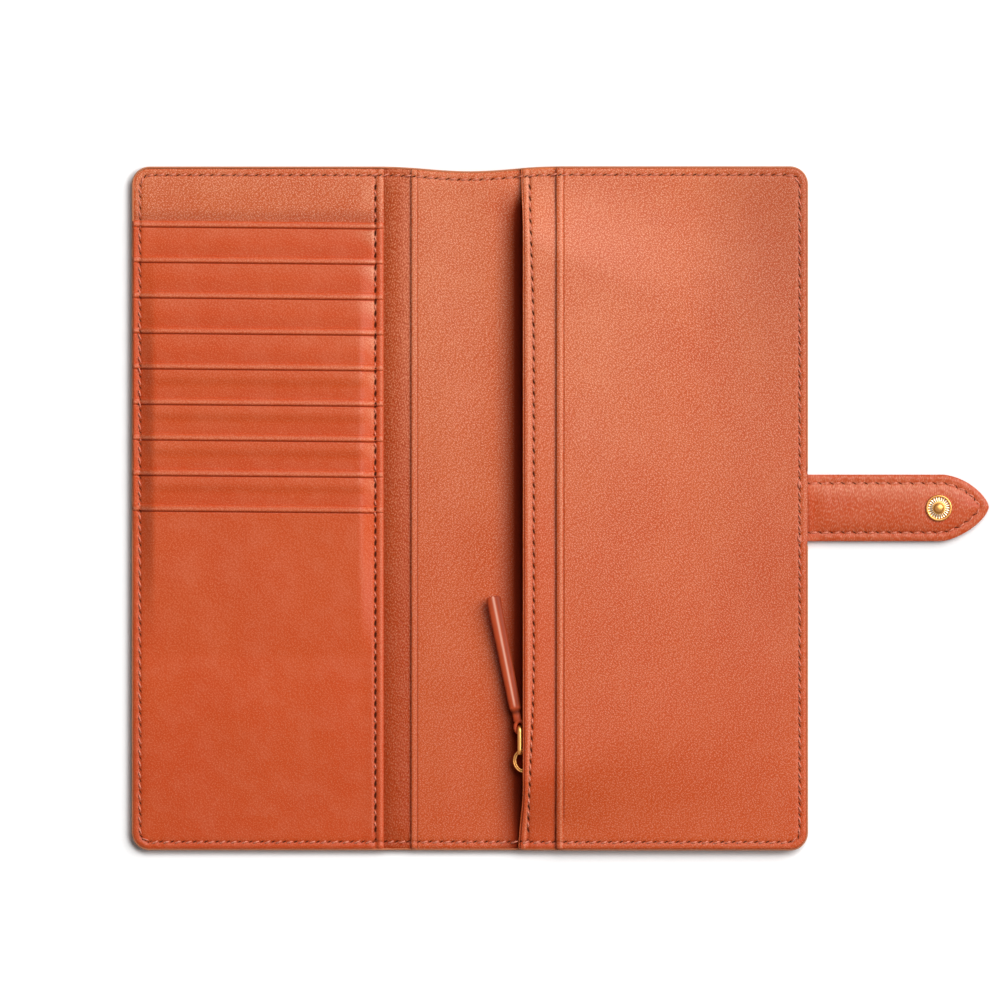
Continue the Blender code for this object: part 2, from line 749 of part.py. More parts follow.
# Puller: an eye round the link, a pressed neck and a long flat leather tube with a round end

lean = math.atan2(PULLER_NECK[0] - PULLER_TIP[0], PULLER_TIP[1] - PULLER_NECK[1])
length = math.hypot(PULLER_NECK[0] - PULLER_TIP[0], PULLER_TIP[1] - PULLER_NECK[1])


def on_puller(along, across):
    """A point of the puller: along runs from its neck to its tip, across is to its right."""
    x = PULLER_NECK[0] - along * math.sin(lean) + across * math.cos(lean)
    y = PULLER_NECK[1] + along * math.cos(lean) + across * math.sin(lean)
    return (x, y)


eye_outer = PULLER_EYE + PULLER_EYE_WALL
outline = arc(LINK_X, LINK_HEAD_Y, eye_outer, 140, 400, 16)
outline.append(on_puller(0.0, PULLER_NECK_HALF_WIDTH))
outline.append(on_puller(PULLER_SHOULDER, PULLER_HALF_WIDTH))
for angle in [math.pi * i / 8 for i in range(9)]:
    along = length - PULLER_HALF_WIDTH + PULLER_HALF_WIDTH * math.sin(angle)
    outline.append(on_puller(along, PULLER_HALF_WIDTH * math.cos(angle)))
outline.append(on_puller(PULLER_SHOULDER, -PULLER_HALF_WIDTH))
outline.append(on_puller(0.0, -PULLER_NECK_HALF_WIDTH))
eye = arc(LINK_X, LINK_HEAD_Y, PULLER_EYE, 0, 337.5, 15)
puller = flat_curve(
    "puller",
    [outline, eye],
    ZIP_Z - PULLER_HALF_THICKNESS,
    ZIP_Z + PULLER_HALF_THICKNESS,
)
settle(puller, puller_axis, puller_leather)

# Strap: outer and inner leather, sewn into the right seam, cut at the two places where it bends

strap_low = STRAP_Y - STRAP_HALF_WIDTH
strap_high = STRAP_Y + STRAP_HALF_WIDTH
root_end = STRAP_NECK_X - half_gap
outer_root = [
    (STRAP_ROOT_X, STRAP_OUTER[0]),
    (root_end, STRAP_OUTER[0]),
    (root_end, STRAP_OUTER[1]),
    (STRAP_SKIVED_END, STRAP_OUTER_SKIVED),
    (STRAP_ROOT_X, STRAP_OUTER_SKIVED),
]
inner_root = [
    (STRAP_ROOT_X, STRAP_INNER_SKIVED[0]),
    (STRAP_SKIVED_END, STRAP_INNER_SKIVED[0]),
    (root_end, STRAP_INNER[0]),
    (root_end, STRAP_INNER[1]),
    (STRAP_SKIVED_END + 1 * MM, STRAP_INNER[1]),
    (STRAP_SKIVED_END, STRAP_INNER_SKIVED[1]),
    (STRAP_ROOT_X, STRAP_INNER_SKIVED[1]),
]
settle(along_y("strap_root_outer", outer_root, strap_low, strap_high), back_cover, outer_leather)
settle(along_y("strap_root_inner", inner_root, strap_low, strap_high), back_cover, pocket_leather)

neck_outline = [
    (STRAP_NECK_X + half_gap, strap_low),
    (STRAP_BEND_X - half_gap, strap_low),
    (STRAP_BEND_X - half_gap, strap_high),
    (STRAP_NECK_X + half_gap, strap_high),
]
point_start = STRAP_TIP_X - STRAP_POINT_LENGTH
tip_outline = [(STRAP_BEND_X + half_gap, strap_high), (STRAP_BEND_X + half_gap, strap_low)]
point_steps = 20
for i in range(point_steps + 1):
    angle = math.pi * (i / point_steps - 0.5)
    x = point_start + STRAP_POINT_LENGTH * math.cos(angle)
    y = STRAP_Y + STRAP_HALF_WIDTH * math.sin(angle)
    tip_outline.append((x, y))
post_hole = arc(STUD_X, STRAP_Y, STUD_POST + GAP, 0, 360 * (1 - 1 / 16), 15)

for name, layer, finish in (
    ("outer", STRAP_OUTER, outer_leather),
    ("inner", STRAP_INNER, pocket_leather),
):
    settle(flat_curve(f"strap_neck_{name}", [neck_outline], *layer), strap_neck, finish)
    settle(flat_curve(f"strap_tip_{name}", [tip_outline, post_hole], *layer), strap_tip, finish)

# Snap: stud and cap on the strap, socket and its plate in the front cover

flange_low = STRAP_INNER[1] + GAP
flange_high = flange_low + STUD_FLANGE_THICKNESS
stud_profile = [
    (0.0, STUD_TOP),
    (STUD_KNOB * 0.6, STUD_TOP - 0.1 * MM),
    (STUD_KNOB * 0.95, STUD_TOP - 0.45 * MM),
    (STUD_KNOB, STUD_TOP - 0.8 * MM),
    (STUD_KNOB * 0.85, STUD_TOP - 1.2 * MM),
    (STUD_KNOB * 0.9, flange_high + 0.1 * MM),
    (STUD_FLANGE * 0.5, flange_high - 0.1 * MM),
    (STUD_FLANGE * 0.8, flange_high),
    (STUD_FLANGE * 0.95, flange_high - 0.1 * MM),
    (STUD_FLANGE, flange_low + 0.25 * MM),
    (STUD_FLANGE * 0.97, flange_low),
    (STUD_POST, flange_low),
    (STUD_POST, STUD_FOOT),
    (STUD_BORE, STUD_FOOT),
    (STUD_BORE, STUD_BORE_TOP),
    (0.0, STUD_BORE_TOP),
]
settle(turned("snap_stud", STUD_X, STRAP_Y, stud_profile), strap_tip, brass)
cap_top = STRAP_OUTER[0] - GAP
cap_profile = [
    (0.0, CAP_PIN_TOP),
    (CAP_PIN, CAP_PIN_TOP),
    (CAP_PIN, cap_top),
    (CAP_RADIUS, cap_top),
    (CAP_RADIUS, cap_top - 0.3 * MM),
    (CAP_RADIUS * 0.9, CAP_FOOT + 0.25 * MM),
    (CAP_RADIUS * 0.6, CAP_FOOT),
    (0.0, CAP_FOOT),
]
settle(turned("snap_cap", STUD_X, STRAP_Y, cap_profile), strap_tip, brass)
face_low, face_high = SOCKET_FACE
socket_profile = [
    (neck_radius, SOCKET_NECK_TOP),
    (neck_radius, face_high),
    (SOCKET_RADIUS, face_high),
    (SOCKET_RADIUS, face_low),
    (SOCKET_BORE, face_low),
    (SOCKET_BORE, SOCKET_NECK_TOP),
]
settle(turned("snap_socket", SOCKET_X, STRAP_Y, socket_profile, True), front_cover, brass)
plate = rod("snap_socket_plate", SOCKET_X, STRAP_Y, SOCKET_PLATE, *SOCKET_PLATE_LAYER)
settle(plate, front_cover, brass)

for piece in wallet.objects:
    if piece.type != "MESH":
        continue
    if any(step.type == "SCREW" for step in piece.modifiers) or piece.name == "snap_socket_plate":
        piece.data.shade_smooth()
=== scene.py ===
import functools
import json
import math

import bpy
import numpy as np
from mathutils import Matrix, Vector


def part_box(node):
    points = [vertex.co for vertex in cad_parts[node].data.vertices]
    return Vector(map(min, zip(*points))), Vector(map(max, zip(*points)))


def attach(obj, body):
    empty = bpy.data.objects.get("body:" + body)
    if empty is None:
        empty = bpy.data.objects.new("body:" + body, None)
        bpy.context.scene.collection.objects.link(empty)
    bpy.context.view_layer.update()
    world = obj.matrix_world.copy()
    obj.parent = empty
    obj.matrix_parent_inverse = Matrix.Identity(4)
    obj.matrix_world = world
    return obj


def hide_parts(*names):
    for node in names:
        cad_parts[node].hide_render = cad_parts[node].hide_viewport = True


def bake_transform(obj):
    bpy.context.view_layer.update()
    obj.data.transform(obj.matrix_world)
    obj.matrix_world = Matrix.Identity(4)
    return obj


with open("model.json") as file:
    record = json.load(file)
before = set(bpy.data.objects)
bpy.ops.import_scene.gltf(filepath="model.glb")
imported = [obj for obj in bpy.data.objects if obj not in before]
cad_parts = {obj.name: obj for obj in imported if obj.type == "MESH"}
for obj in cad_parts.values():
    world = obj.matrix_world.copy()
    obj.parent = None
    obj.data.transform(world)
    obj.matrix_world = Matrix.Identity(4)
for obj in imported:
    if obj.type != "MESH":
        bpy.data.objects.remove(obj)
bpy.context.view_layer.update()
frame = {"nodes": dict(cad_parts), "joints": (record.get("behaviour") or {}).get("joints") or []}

joints = {joint["name"]: joint for joint in frame["joints"]}

# An open leather wallet seen from straight above. Lengths are in millimetres until putMesh.


def nodeBox(name):  # a CAD node's lowest and highest corner, in millimetres
    low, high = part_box(name)
    return np.array(low) * 1000, np.array(high) * 1000


def nodeMiddle(name):
    return sum(nodeBox(name)) / 2


# The camera stands far above the table, so the wallet is seen almost without perspective
view = {
    "centre": (11.2, 3.1),  # the point under the camera
    "width": 366.6,         # width of the table that the frame shows
    "distance": 3000.0,
    "sensor": 36.0,
}
eye = bpy.data.cameras.new("camera")
eye.sensor_width = view["sensor"]
eye.lens = view["sensor"] * view["distance"] / view["width"]
eye.clip_end = 20.0
camera = bpy.data.objects.new("camera", eye)
camera.location = (view["centre"][0] / 1000, view["centre"][1] / 1000, view["distance"] / 1000)
bpy.context.scene.collection.objects.link(camera)
bpy.context.scene.camera = camera
bpy.context.scene.view_settings.view_transform = "Standard"
print("stage 1: camera over the table")


# Shared shapes and numbers

def smoothStep(t):  # 0 to 1, level at both ends: t * t * (3 - 2 t)
    t = np.clip(t, 0.0, 1.0)
    return t * t * (3 - 2 * t)


def hump(t):  # a bell, 1 in the middle: exp(-t * t)
    return np.exp(-np.minimum(t * t, 50.0))


def line(t, shape):  # a soft line from (place, width, strength): strength * hump((t - place) / width)
    return shape[2] * hump((t - shape[0]) / shape[1])


def slope(t, shape):  # a soft step from (start, length, strength): strength * smoothStep((t - start) / length)
    return shape[2] * smoothStep((t - shape[0]) / shape[1])


def nosed(over, nose):  # the fall of a sheet's rounded free edge: depth * (1 - over / width) squared
    width, depth = nose
    return depth * np.clip(1 - over / width, 0, 1) ** 2


def ripple(x, y, size, seed, rise=1.0):
    # Five plane waves of about this length in seeded directions, about -rise to rise
    rng = np.random.default_rng(seed)
    total = np.zeros(np.broadcast(x, y).shape)
    for angle, phase, stretch in rng.uniform(0, 1, (5, 3)):
        length = size * (0.7 + 0.7 * stretch)
        along = x * np.cos(angle * 2 * np.pi) + y * np.sin(angle * 2 * np.pi)
        total += np.sin(2 * np.pi * (along / length + phase))
    return rise * (total / 3)


def steps(start, end, size):  # evenly spaced places from start to end, about this far apart
    return np.linspace(start, end, max(int(round(abs(end - start) / size)), 1) + 1)


def places(*runs):  # several runs of places as one rising list, without near doubles
    found = np.unique(np.concatenate([np.atleast_1d(run) for run in runs]))
    return found[np.concatenate([[True], np.diff(found) > 0.02])]


wallet = {
    "left": nodeBox("front_outer_leather")[0][0],
    "right": nodeBox("back_outer_leather")[1][0],
    "halfHeight": nodeBox("back_outer_leather")[1][1],
    "cornerRadius": 6.6,
    "topDip": 1.7,        # the top edge sinks by this over the spine
    "topDipReach": 32.0,
    "rimWidth": 0.75,     # the outer leather's turned edge, seen round the whole wallet
    "inner": 0.87,        # how far inside the outline the inner layers end
    "seamInset": 3.05,
    "stitchPitch": 4.1,
    "rowSize": 0.8,       # spacing of the grid's rows
}
left, right, halfHeight = wallet["left"], wallet["right"], wallet["halfHeight"]
radius = wallet["cornerRadius"]


def topEdge(x):  # the top edge: level, less topDip * cos(pi x / (2 reach)) squared over the spine
    reach = wallet["topDipReach"]
    bell = np.cos(np.pi * np.clip(x, -reach, reach) / (2 * reach)) ** 2
    return halfHeight - wallet["topDip"] * bell


def cornerPull(y, inset):  # how far the rounded corner draws a side edge in at this height
    bend = radius - inset
    into = np.clip(np.abs(y) - (halfHeight - radius), 0.0, bend)
    return bend - np.sqrt(np.maximum(bend * bend - into * into, 0.0))


def edgeDistance(x, y):  # how far a point lies inside the wallet's rounded outline
    dx = np.minimum(x - left, right - x)
    dy = np.minimum(y + halfHeight, topEdge(x) - y)
    corner = (dx < radius) & (dy < radius)
    return np.where(corner, radius - np.hypot(radius - dx, radius - dy), np.minimum(dx, dy))


# The seam round the wallet: a walk along the outline, moved in, anticlockwise from the bottom left corner

seamBend = radius - wallet["seamInset"]
seamArc = seamBend * np.pi / 2
seamRuns = np.array([right - left - 2 * radius, seamArc, 2 * (halfHeight - radius), seamArc] * 2)
seamStarts = np.concatenate([[0.0], np.cumsum(seamRuns)])
seamLength = seamStarts[-1]
seamCount = int(round(seamLength / wallet["stitchPitch"]))
seamPitch = seamLength / seamCount
nearLeft, nearRight = left + radius, right - radius
nearLow, nearHigh = -halfHeight + radius, halfHeight - radius


def seamPoint(s):  # the point and the heading at s along the seam: four straight runs and four quarter rounds
    s = s % seamLength
    run = np.clip(np.searchsorted(seamStarts, s, side="right") - 1, 0, 7)
    t = s - seamStarts[run]
    inset, turn = wallet["seamInset"], t / seamBend
    across, up = seamBend * np.sin(turn), seamBend * np.cos(turn)
    heading = np.where(run % 2 == 1, turn, 0.0) + (run // 2) * np.pi / 2
    x = np.choose(run, [nearLeft + t, nearRight + across, right - inset + 0 * t, nearRight + up,
                        nearRight - t, nearLeft - across, left + inset + 0 * t, nearLeft - up])
    y = np.choose(run, [-halfHeight + inset + 0 * t, nearLow - up, nearLow + t, nearHigh + across,
                        topEdge(nearRight - t) - inset, nearHigh + up, nearHigh - t, nearLow - across])
    return x, y, heading


def seamPlace(x, y):  # the same walk turned round: s for a point beside the seam
    side = np.argmin(np.stack([y + halfHeight, right - x, topEdge(x) - y, x - left]), axis=0)
    straight = np.choose(side, [x - nearLeft, seamStarts[2] + y - nearLow,
                                seamStarts[4] + nearRight - x, seamStarts[6] + nearHigh - y])
    inX = np.where(x > 0, x - nearRight, nearLeft - x)
    inY = np.where(y > 0, y - nearHigh, nearLow - y)
    angle = np.arctan2(np.maximum(inX, 1e-6), np.maximum(inY, 1e-6)) * seamBend
    corner = np.where(x > 0, np.where(y > 0, seamStarts[4] - angle, seamStarts[1] + angle),
                      np.where(y > 0, seamStarts[5] + angle, seamStarts[8] - angle))
    return np.where((inX > 0) & (inY > 0), corner, straight)


# Meshes

def putMesh(name, points, faces, material, floats=None, maps=None, smooth=True):
    # points in millimetres; faces as arrays, one for each number of corners; floats are point attributes
    # and maps are UV maps, both with a value for each point
    mesh = bpy.data.meshes.new(name)
    corners = np.concatenate([np.asarray(part).ravel() for part in faces]).astype(np.int32)
    totals = np.concatenate([np.full(len(part), np.asarray(part).shape[1]) for part in faces])
    mesh.vertices.add(len(points))
    mesh.vertices.foreach_set("co", (points / 1000).astype(np.float32).ravel())
    mesh.loops.add(len(corners))
    mesh.loops.foreach_set("vertex_index", corners)
    mesh.polygons.add(len(totals))
    mesh.polygons.foreach_set("loop_start", np.concatenate([[0], np.cumsum(totals)[:-1]]).astype(np.int32))
    mesh.polygons.foreach_set("use_smooth", np.full(len(totals), smooth))
    mesh.update(calc_edges=True)
    for key, values in (floats or {}).items():
        attribute = mesh.attributes.new(key, "FLOAT", "POINT")
        attribute.data.foreach_set("value", np.asarray(values, np.float32))
    for key, values in (maps or {}).items():
        mesh.uv_layers.new(name=key).data.foreach_set("uv", values[corners].astype(np.float32).ravel())
    mesh.validate()
    mesh.materials.append(material)
    piece = bpy.data.objects.new(name, mesh)
    bpy.context.scene.collection.objects.link(piece)
    return piece


def gridFaces(rows, columns, start=0):  # four-cornered faces of a grid, facing up where x and y rise with it
    a = start + np.arange(rows - 1)[:, None] * columns + np.arange(columns - 1)[None]
    return np.stack([a, a + 1, a + columns + 1, a + columns], -1).reshape(-1, 4)


def rimOrder(rows, columns):  # the border points of a grid, anticlockwise seen from above
    index = np.arange(rows * columns).reshape(rows, columns)
    return np.concatenate([index[0, :-1], index[:-1, -1], index[-1, :0:-1], index[:0:-1, 0]])


def stripFaces(upper, lower):  # faces between two closed loops of points, facing out
    return np.stack([upper, lower, np.roll(lower, -1), np.roll(upper, -1)], -1)


def pileFaces(rings, sides, closed=False, flip=False):
    # Faces round a row of rings, with a cap at both ends unless the row closes on itself
    ring = np.arange(rings * sides).reshape(rings, sides)[:, ::-1 if flip else 1]
    if closed:
        return [stripFaces(a, b) for a, b in zip(ring, np.roll(ring, -1, 0))]
    return [stripFaces(a, b) for a, b in zip(ring, ring[1:])] + [ring[0][None], ring[-1][::-1][None]]


def copyFaces(faces, count, size):  # the faces of one shape for each of its copies, size points apart
    starts = np.arange(count)[:, None, None] * size
    return [(starts + part[None]).reshape(-1, part.shape[1]) for part in faces]


def joined(parts):  # several (points, faces) as one
    points, faces, start = [], [], 0
    for some, those in parts:
        points.append(some)
        faces += [face + start for face in those]
        start += len(some)
    return np.concatenate(points), faces


def outwardOf(rim, butt, ends):  # the outward direction in plan at each border point; none across a butt joint
    ahead = np.roll(rim, -1, 0) - np.roll(rim, 1, 0)
    out = np.stack([ahead[:, 1], -ahead[:, 0]], 1)
    out /= np.maximum(np.linalg.norm(out, axis=1), 1e-9)[:, None]
    out[butt] = 0.0
    out[ends, 1] = np.sign(rim[ends, 1])
    return out


noSeam = 99.0  # millimetres from the nearest seam, on a surface that has none


def closedSheet(name, top, bottom, material, edge, flatAt=None, tone=0.0, seam=None, under=None, edgeTone=0.0,
                edgePaint=0.0):
    # A sheet of leather: a top and a bottom grid of the same shape, joined round their border. edge is a list
    # of (out, share): how far out a loop lies, and its height from top, 0, to bottom, 1. seam holds the seam
    # marks and the needle holes' lengths on the top, under the marks on the underside. flatAt is a butt joint's x.
    rows, columns = top.shape[:2]
    count = rows * columns
    rim = rimOrder(rows, columns)
    upper, lower = top.reshape(-1, 3)[rim], bottom.reshape(-1, 3)[rim]
    butt = np.zeros(len(rim), bool) if flatAt is None else np.abs(upper[:, 0] - flatAt) < 1e-6
    buttY = upper[butt, 1]
    ends = butt & ((upper[:, 1] > buttY.max(initial=0) - 1e-6) | (upper[:, 1] < buttY.min(initial=0) + 1e-6))
    out = outwardOf(upper, butt, ends)
    loops, orders, last, run = [], [rim], upper, 0.0
    hides = [top[..., :2].reshape(-1, 2), bottom[..., :2].reshape(-1, 2)]
    for number, (reach, share) in enumerate(edge):
        share = np.where(butt & ~ends, (number + 1) / (len(edge) + 1), share)
        loop = upper + (lower - upper) * share[:, None]
        loop[:, :2] += out * reach
        run = run + np.linalg.norm(loop - last, axis=1)  # the hide is unrolled outwards over its edge
        hides.append(upper[:, :2] + out * run[:, None])
        loops.append(loop)
        last = loop
        orders.append(2 * count + number * len(rim) + np.arange(len(rim)))
    orders.append(count + rim)
    points = np.concatenate([top.reshape(-1, 3), bottom.reshape(-1, 3)] + loops)
    faces = [gridFaces(rows, columns), gridFaces(rows, columns, count)[:, ::-1]]
    faces += [stripFaces(a, b) for a, b in zip(orders, orders[1:])]
    tones, holes, paint = np.zeros(len(points)), np.ones(len(points)), np.zeros(len(points))
    marks = np.full((len(points), 2), [noSeam, 0.0])
    tones[:count], tones[2 * count:], paint[2 * count:] = np.ravel(tone), edgeTone, edgePaint
    if seam is not None:
        marks[:count], holes[:count] = seam[0].reshape(-1, 2), seam[1].ravel()
    if under is not None:
        marks[count:2 * count] = under.reshape(-1, 2)
    piece = putMesh(name, points, faces, material, {"tone": tones, "hole": holes, "paint": paint},
                    {"seam": marks, "hide": np.concatenate(hides) / 1000})
    if butt.any():  # a crisp corner at the butt joint keeps the shading level across it
        mesh = piece.data
        pairs = np.zeros(2 * len(mesh.edges), np.int32)
        mesh.edges.foreach_get("vertices", pairs)
        atButt = np.zeros(len(points), bool)
        atButt[np.concatenate([rim[butt], count + rim[butt]])] = True
        crisp = mesh.attributes.new("sharp_edge", "BOOLEAN", "EDGE")
        crisp.data.foreach_set("value", atButt[pairs.reshape(-1, 2)].all(axis=1))
    return piece


def halfRound(bulge, count=4):  # the profile of a rounded edge: out by bulge * sin a, down by (1 - cos a) / 2
    angles = np.pi * np.arange(1, count) / count
    return [(bulge * math.sin(a), (1 - math.cos(a)) / 2) for a in angles]


def stack(x, y, z):
    return np.stack([x, y, z + 0 * x], -1)


def tubeGrid(centres, across, up, profile, closed):
    # A profile carried along a path: centre + profile x * across + profile y * up, at every path point
    x, y = profile[None, :, :1], profile[None, :, 1:]
    shape = centres[:, None] + np.atleast_2d(across)[:, None] * x + np.atleast_2d(up)[:, None] * y
    return shape.reshape(-1, 3), pileFaces(*shape.shape[:2], closed)


def rounded(halfWidth, halfTall, power, count):  # a rounded oblong: |x/a|^n + |y/b|^n = 1, clockwise
    angle = -2 * np.pi * np.arange(count) / count
    c, s = np.cos(angle), np.sin(angle)
    return np.stack([halfWidth * np.sign(c) * np.abs(c) ** (2 / power),
                     halfTall * np.sign(s) * np.abs(s) ** (2 / power)], 1)


def turned(place, profile, count, lift=None, ring=False):
    # A turned shape: points (r cos a, r sin a, z) for each profile point, from the top centre to the bottom one.
    # A ring's profile closes on itself.
    x, y = place[:2]
    angle = 2 * np.pi * np.arange(count) / count
    points, rings, faces = [], [], []
    for r, z in profile:
        if r < 1e-6:
            rings.append(np.array([len(points)]))
            points.append((x, y, z))
            continue
        rise = z + (lift(r, angle) if lift else 0.0) + 0 * angle
        rings.append(len(points) + np.arange(count))
        points += list(zip(x + r * np.cos(angle), y + r * np.sin(angle), rise))
    for inner, outer in zip(rings, rings[1:] + ([rings[0]] if ring else [])):
        if len(inner) == 1:
            faces.append(np.stack([np.full(count, inner[0]), outer, np.roll(outer, -1)], 1))
        elif len(outer) == 1:
            faces.append(np.stack([inner, np.full(count, outer[0]), np.roll(inner, -1)], 1))
        else:
            faces.append(stripFaces(inner, outer))
    return np.array(points, float), faces


# What carries a piece: a body that it is attached to, or a fold line between two bodies, where it is only fixed in
# place

bends = {  # the first body, the second, the joint between them and the way from the second to the first along x
    "foldBack": ("back_cover", "spine", "spine_fold_back", 1),
    "foldFront": ("spine", "front_cover", "spine_fold_front", 1),
    "strapEdge": ("back_cover", "strap_neck", "strap_bend_edge", -1),
    "strapFront": ("strap_neck", "strap_tip", "strap_bend_front", -1),
}


def fitted(piece, slotName, carrier, *nodes):  # its slot, which is not used, the CAD nodes that it stands for and what carries it
    if nodes:
        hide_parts(*nodes)
    if carrier in bends:
        first, second, joint, way = bends[carrier]
        middle = np.array(joints[joint]["pos_m"])
        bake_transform(piece)
    else:
        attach(piece, carrier)


print("stage 2: shapes ready")


# Materials

def toLinear(code):  # an sRGB hex colour as linear values
    value = np.array([int(code[i:i + 2], 16) for i in (1, 3, 5)]) / 255
    linear = np.where(value <= 0.04045, value / 12.92, ((value + 0.055) / 1.055) ** 2.4)
    return (*linear, 1.0)


def addNode(tree, kind, inputs=(), out=0, **settings):
    # Inputs in order or by name: a (node, output) is linked, anything else is set. Gives (node, output) for links
    node = tree.nodes.new("ShaderNode" + kind)
    for key, value in settings.items():
        setattr(node, key, value)
    for key, value in inputs.items() if isinstance(inputs, dict) else enumerate(inputs):
        if isinstance(value, tuple) and isinstance(value[0], bpy.types.Node):
            tree.links.new(value[0].outputs[value[1]], node.inputs[key])
        else:
            node.inputs[key].default_value = value
    return node, out


plus, minus, times = {"operation": "ADD"}, {"operation": "SUBTRACT"}, {"operation": "MULTIPLY"}
divided, timesPlus = {"operation": "DIVIDE"}, {"operation": "MULTIPLY_ADD"}
softly = {"interpolation_type": "SMOOTHSTEP"}       # a number moved from one span to another
overlaid = {"out": 2, "data_type": "RGBA"}          # inputs 0, 6, 7: how much of the second colour over the first
noiseSpan = (0.3, 0.7)                              # nearly all of a noise lies between these


def startMaterial(name):  # an empty material, and addNode for its tree
    material = bpy.data.materials.new(name)
    material.use_nodes = True
    material.node_tree.nodes.clear()
    return material, functools.partial(addNode, material.node_tree)


def finishMaterial(add, relief, **inputs):  # the shader with its relief, in millimetres, to the output
    if relief:
        inputs["Normal"] = add("Bump", {"Height": relief, "Distance": 0.001, "Strength": 1.0})
    add("OutputMaterial", {"Surface": add("BsdfPrincipled", {key.replace("_", " "): value
                                                             for key, value in inputs.items()})})


def leather(name, change):
    # Dyed calf leather. Its grain is a fine even pebble, drawn out along a direction that wanders over the hide.
    # The dye lies unevenly, and is paler on raised fold edges, partly from use and partly as painted highlight.
    # Painted light and shade lie over it: painted glints on the grain's tops, painted shade between grains,
    # towards the bottom of the page, in pressed lines, grooves and needle holes, and painted shadows from the tone
    # attribute.
    look = {**nappaLook, **change}
    material, add = startMaterial(name)
    place = add("UVMap", uv_map="hide")  # metres on the flat hide, so the grain bends with the leather
    drift = add("TexNoise", {"Vector": place, "Scale": 1000 / look["drift"], "Detail": 1.0}, out=1)
    warped = add("VectorMath", [drift, (look["wander"] / 1000,) * 3, place], **timesPlus)
    cloud = add("TexNoise", {"Vector": place, "Scale": 1000 / look["cloud"], "Detail": 3.0, "Roughness": 0.6})
    patch = add("TexNoise", {"Vector": place, "Scale": 1000 / look["patch"], "Detail": 3.0, "Roughness": 0.65})
    wide, long = look["pebble"]
    turned = add("Mapping", {"Vector": warped, "Rotation": (0, 0, look["turn"]),
                             "Scale": (wide / 1000, long / 1000, wide / 1000)}, vector_type="TEXTURE")
    fuzz = add("TexNoise", {"Vector": turned, "Scale": 1.0, "Detail": 1.0}, noise_dimensions="2D")
    bead = add("TexVoronoi", {"Vector": turned, "Scale": 1.0, "Randomness": look["uneven"]},
               voronoi_dimensions="2D")
    body = add("Math", [1 - 0.5 * look["fuzz"], bead], **minus)
    pebble = add("Math", [fuzz, look["fuzz"], body], **timesPlus)  # 1 on a grain's top, about 0.3 between grains
    seam = add("SeparateXYZ", [add("UVMap", uv_map="seam")])[0]
    across, along = (seam, 0), (seam, 1)
    tone, holeLength, paint = [add("Attribute", out="Fac", attribute_name=key)
                               for key in ("tone", "hole", "paint")]

    # Needle holes: a slanted slit at each whole number of stitches along the seam, sunk in the relief and painted
    # dark for the shade inside it
    fromHole = add("Math", [add("Math", [along, 0.5], operation="PINGPONG"), wallet["stitchPitch"]], **times)
    ovalLong = add("Math", [add("Math", [fromHole, holeLength], **divided), 2.0], operation="POWER")
    ovalWide = add("Math", [add("Math", [across, seamHole["across"]], **divided), 2.0], operation="POWER")
    oval = add("Math", [ovalLong, ovalWide], **plus)
    hole = add("MapRange", [oval, *seamHole["soft"], 1.0, 0.0], **softly)
    groove = add("MapRange", [across, 0.0, look["grooveWidth"], 1.0, 0.0], **softly)

    # Colour, layer over layer: a share and the colour that it brings
    height = (add("SeparateXYZ", [place])[0], 1)
    top = add("MapRange", [pebble, 0.35, 0.75, *look["wearAndHighlight"]], **softly)
    dye = toLinear(look["dye"])
    # Painted light: glint is a painted glint on each grain's top, and shade is painted shade between grains. The
    # tone attribute paints highlights, with some wear, into pale, and shade and shadows into deep.
    for share, colour in (
            (add("MapRange", [cloud, *noiseSpan, 0.0, 1.0], **softly), "redder"),
            (add("MapRange", [patch, 0.4, 0.7, 0.0, look["fleck"]], **softly), "pale"),
            (add("MapRange", [pebble, 0.25, 0.55, look["valley"], 0.0], **softly), "shade"),
            (add("MapRange", [pebble, look["glintFrom"], 1.0, 0.0, look["speck"]], **softly), "glint"),
            # painted shade, deeper towards the bottom of the page
            (add("MapRange", [height, *look["lowSpan"], 0.0, look["lowShare"]], **softly), "low"),
            (add("Math", [tone, top], use_clamp=True, **times), "pale"),
            (add("Math", [tone, -1.0], use_clamp=True, **times), "deep"),
            # painted shade in the seam's groove
            (add("Math", [groove, look["grooveShade"]], **times), "deep"),
            (hole, "hollow"),
            (paint, "paint")):
        dye = add("Mix", {0: share, 6: dye, 7: toLinear(look[colour])}, **overlaid)

    # Relief, in millimetres
    relief = add("Math", [pebble, look["pebbleDepth"]], **times)
    for sunk, depth in ((groove, look["grooveDepth"]), (hole, look["holeDepth"])):
        relief = add("Math", [sunk, -depth, relief], **timesPlus)
    rough = add("MapRange", [patch, *noiseSpan, look["roughness"] - 0.05, look["roughness"] + 0.05], **softly)
    pressed = add("Math", [tone, -1.3], use_clamp=True, **times)  # pressed and shaded lines keep no polish
    for dull in (pressed, hole):
        rough = add("Math", [rough, dull], operation="MAXIMUM")
    finishMaterial(add, relief, Base_Color=dye, Roughness=rough, Specular_IOR_Level=look["shine"])
    return material


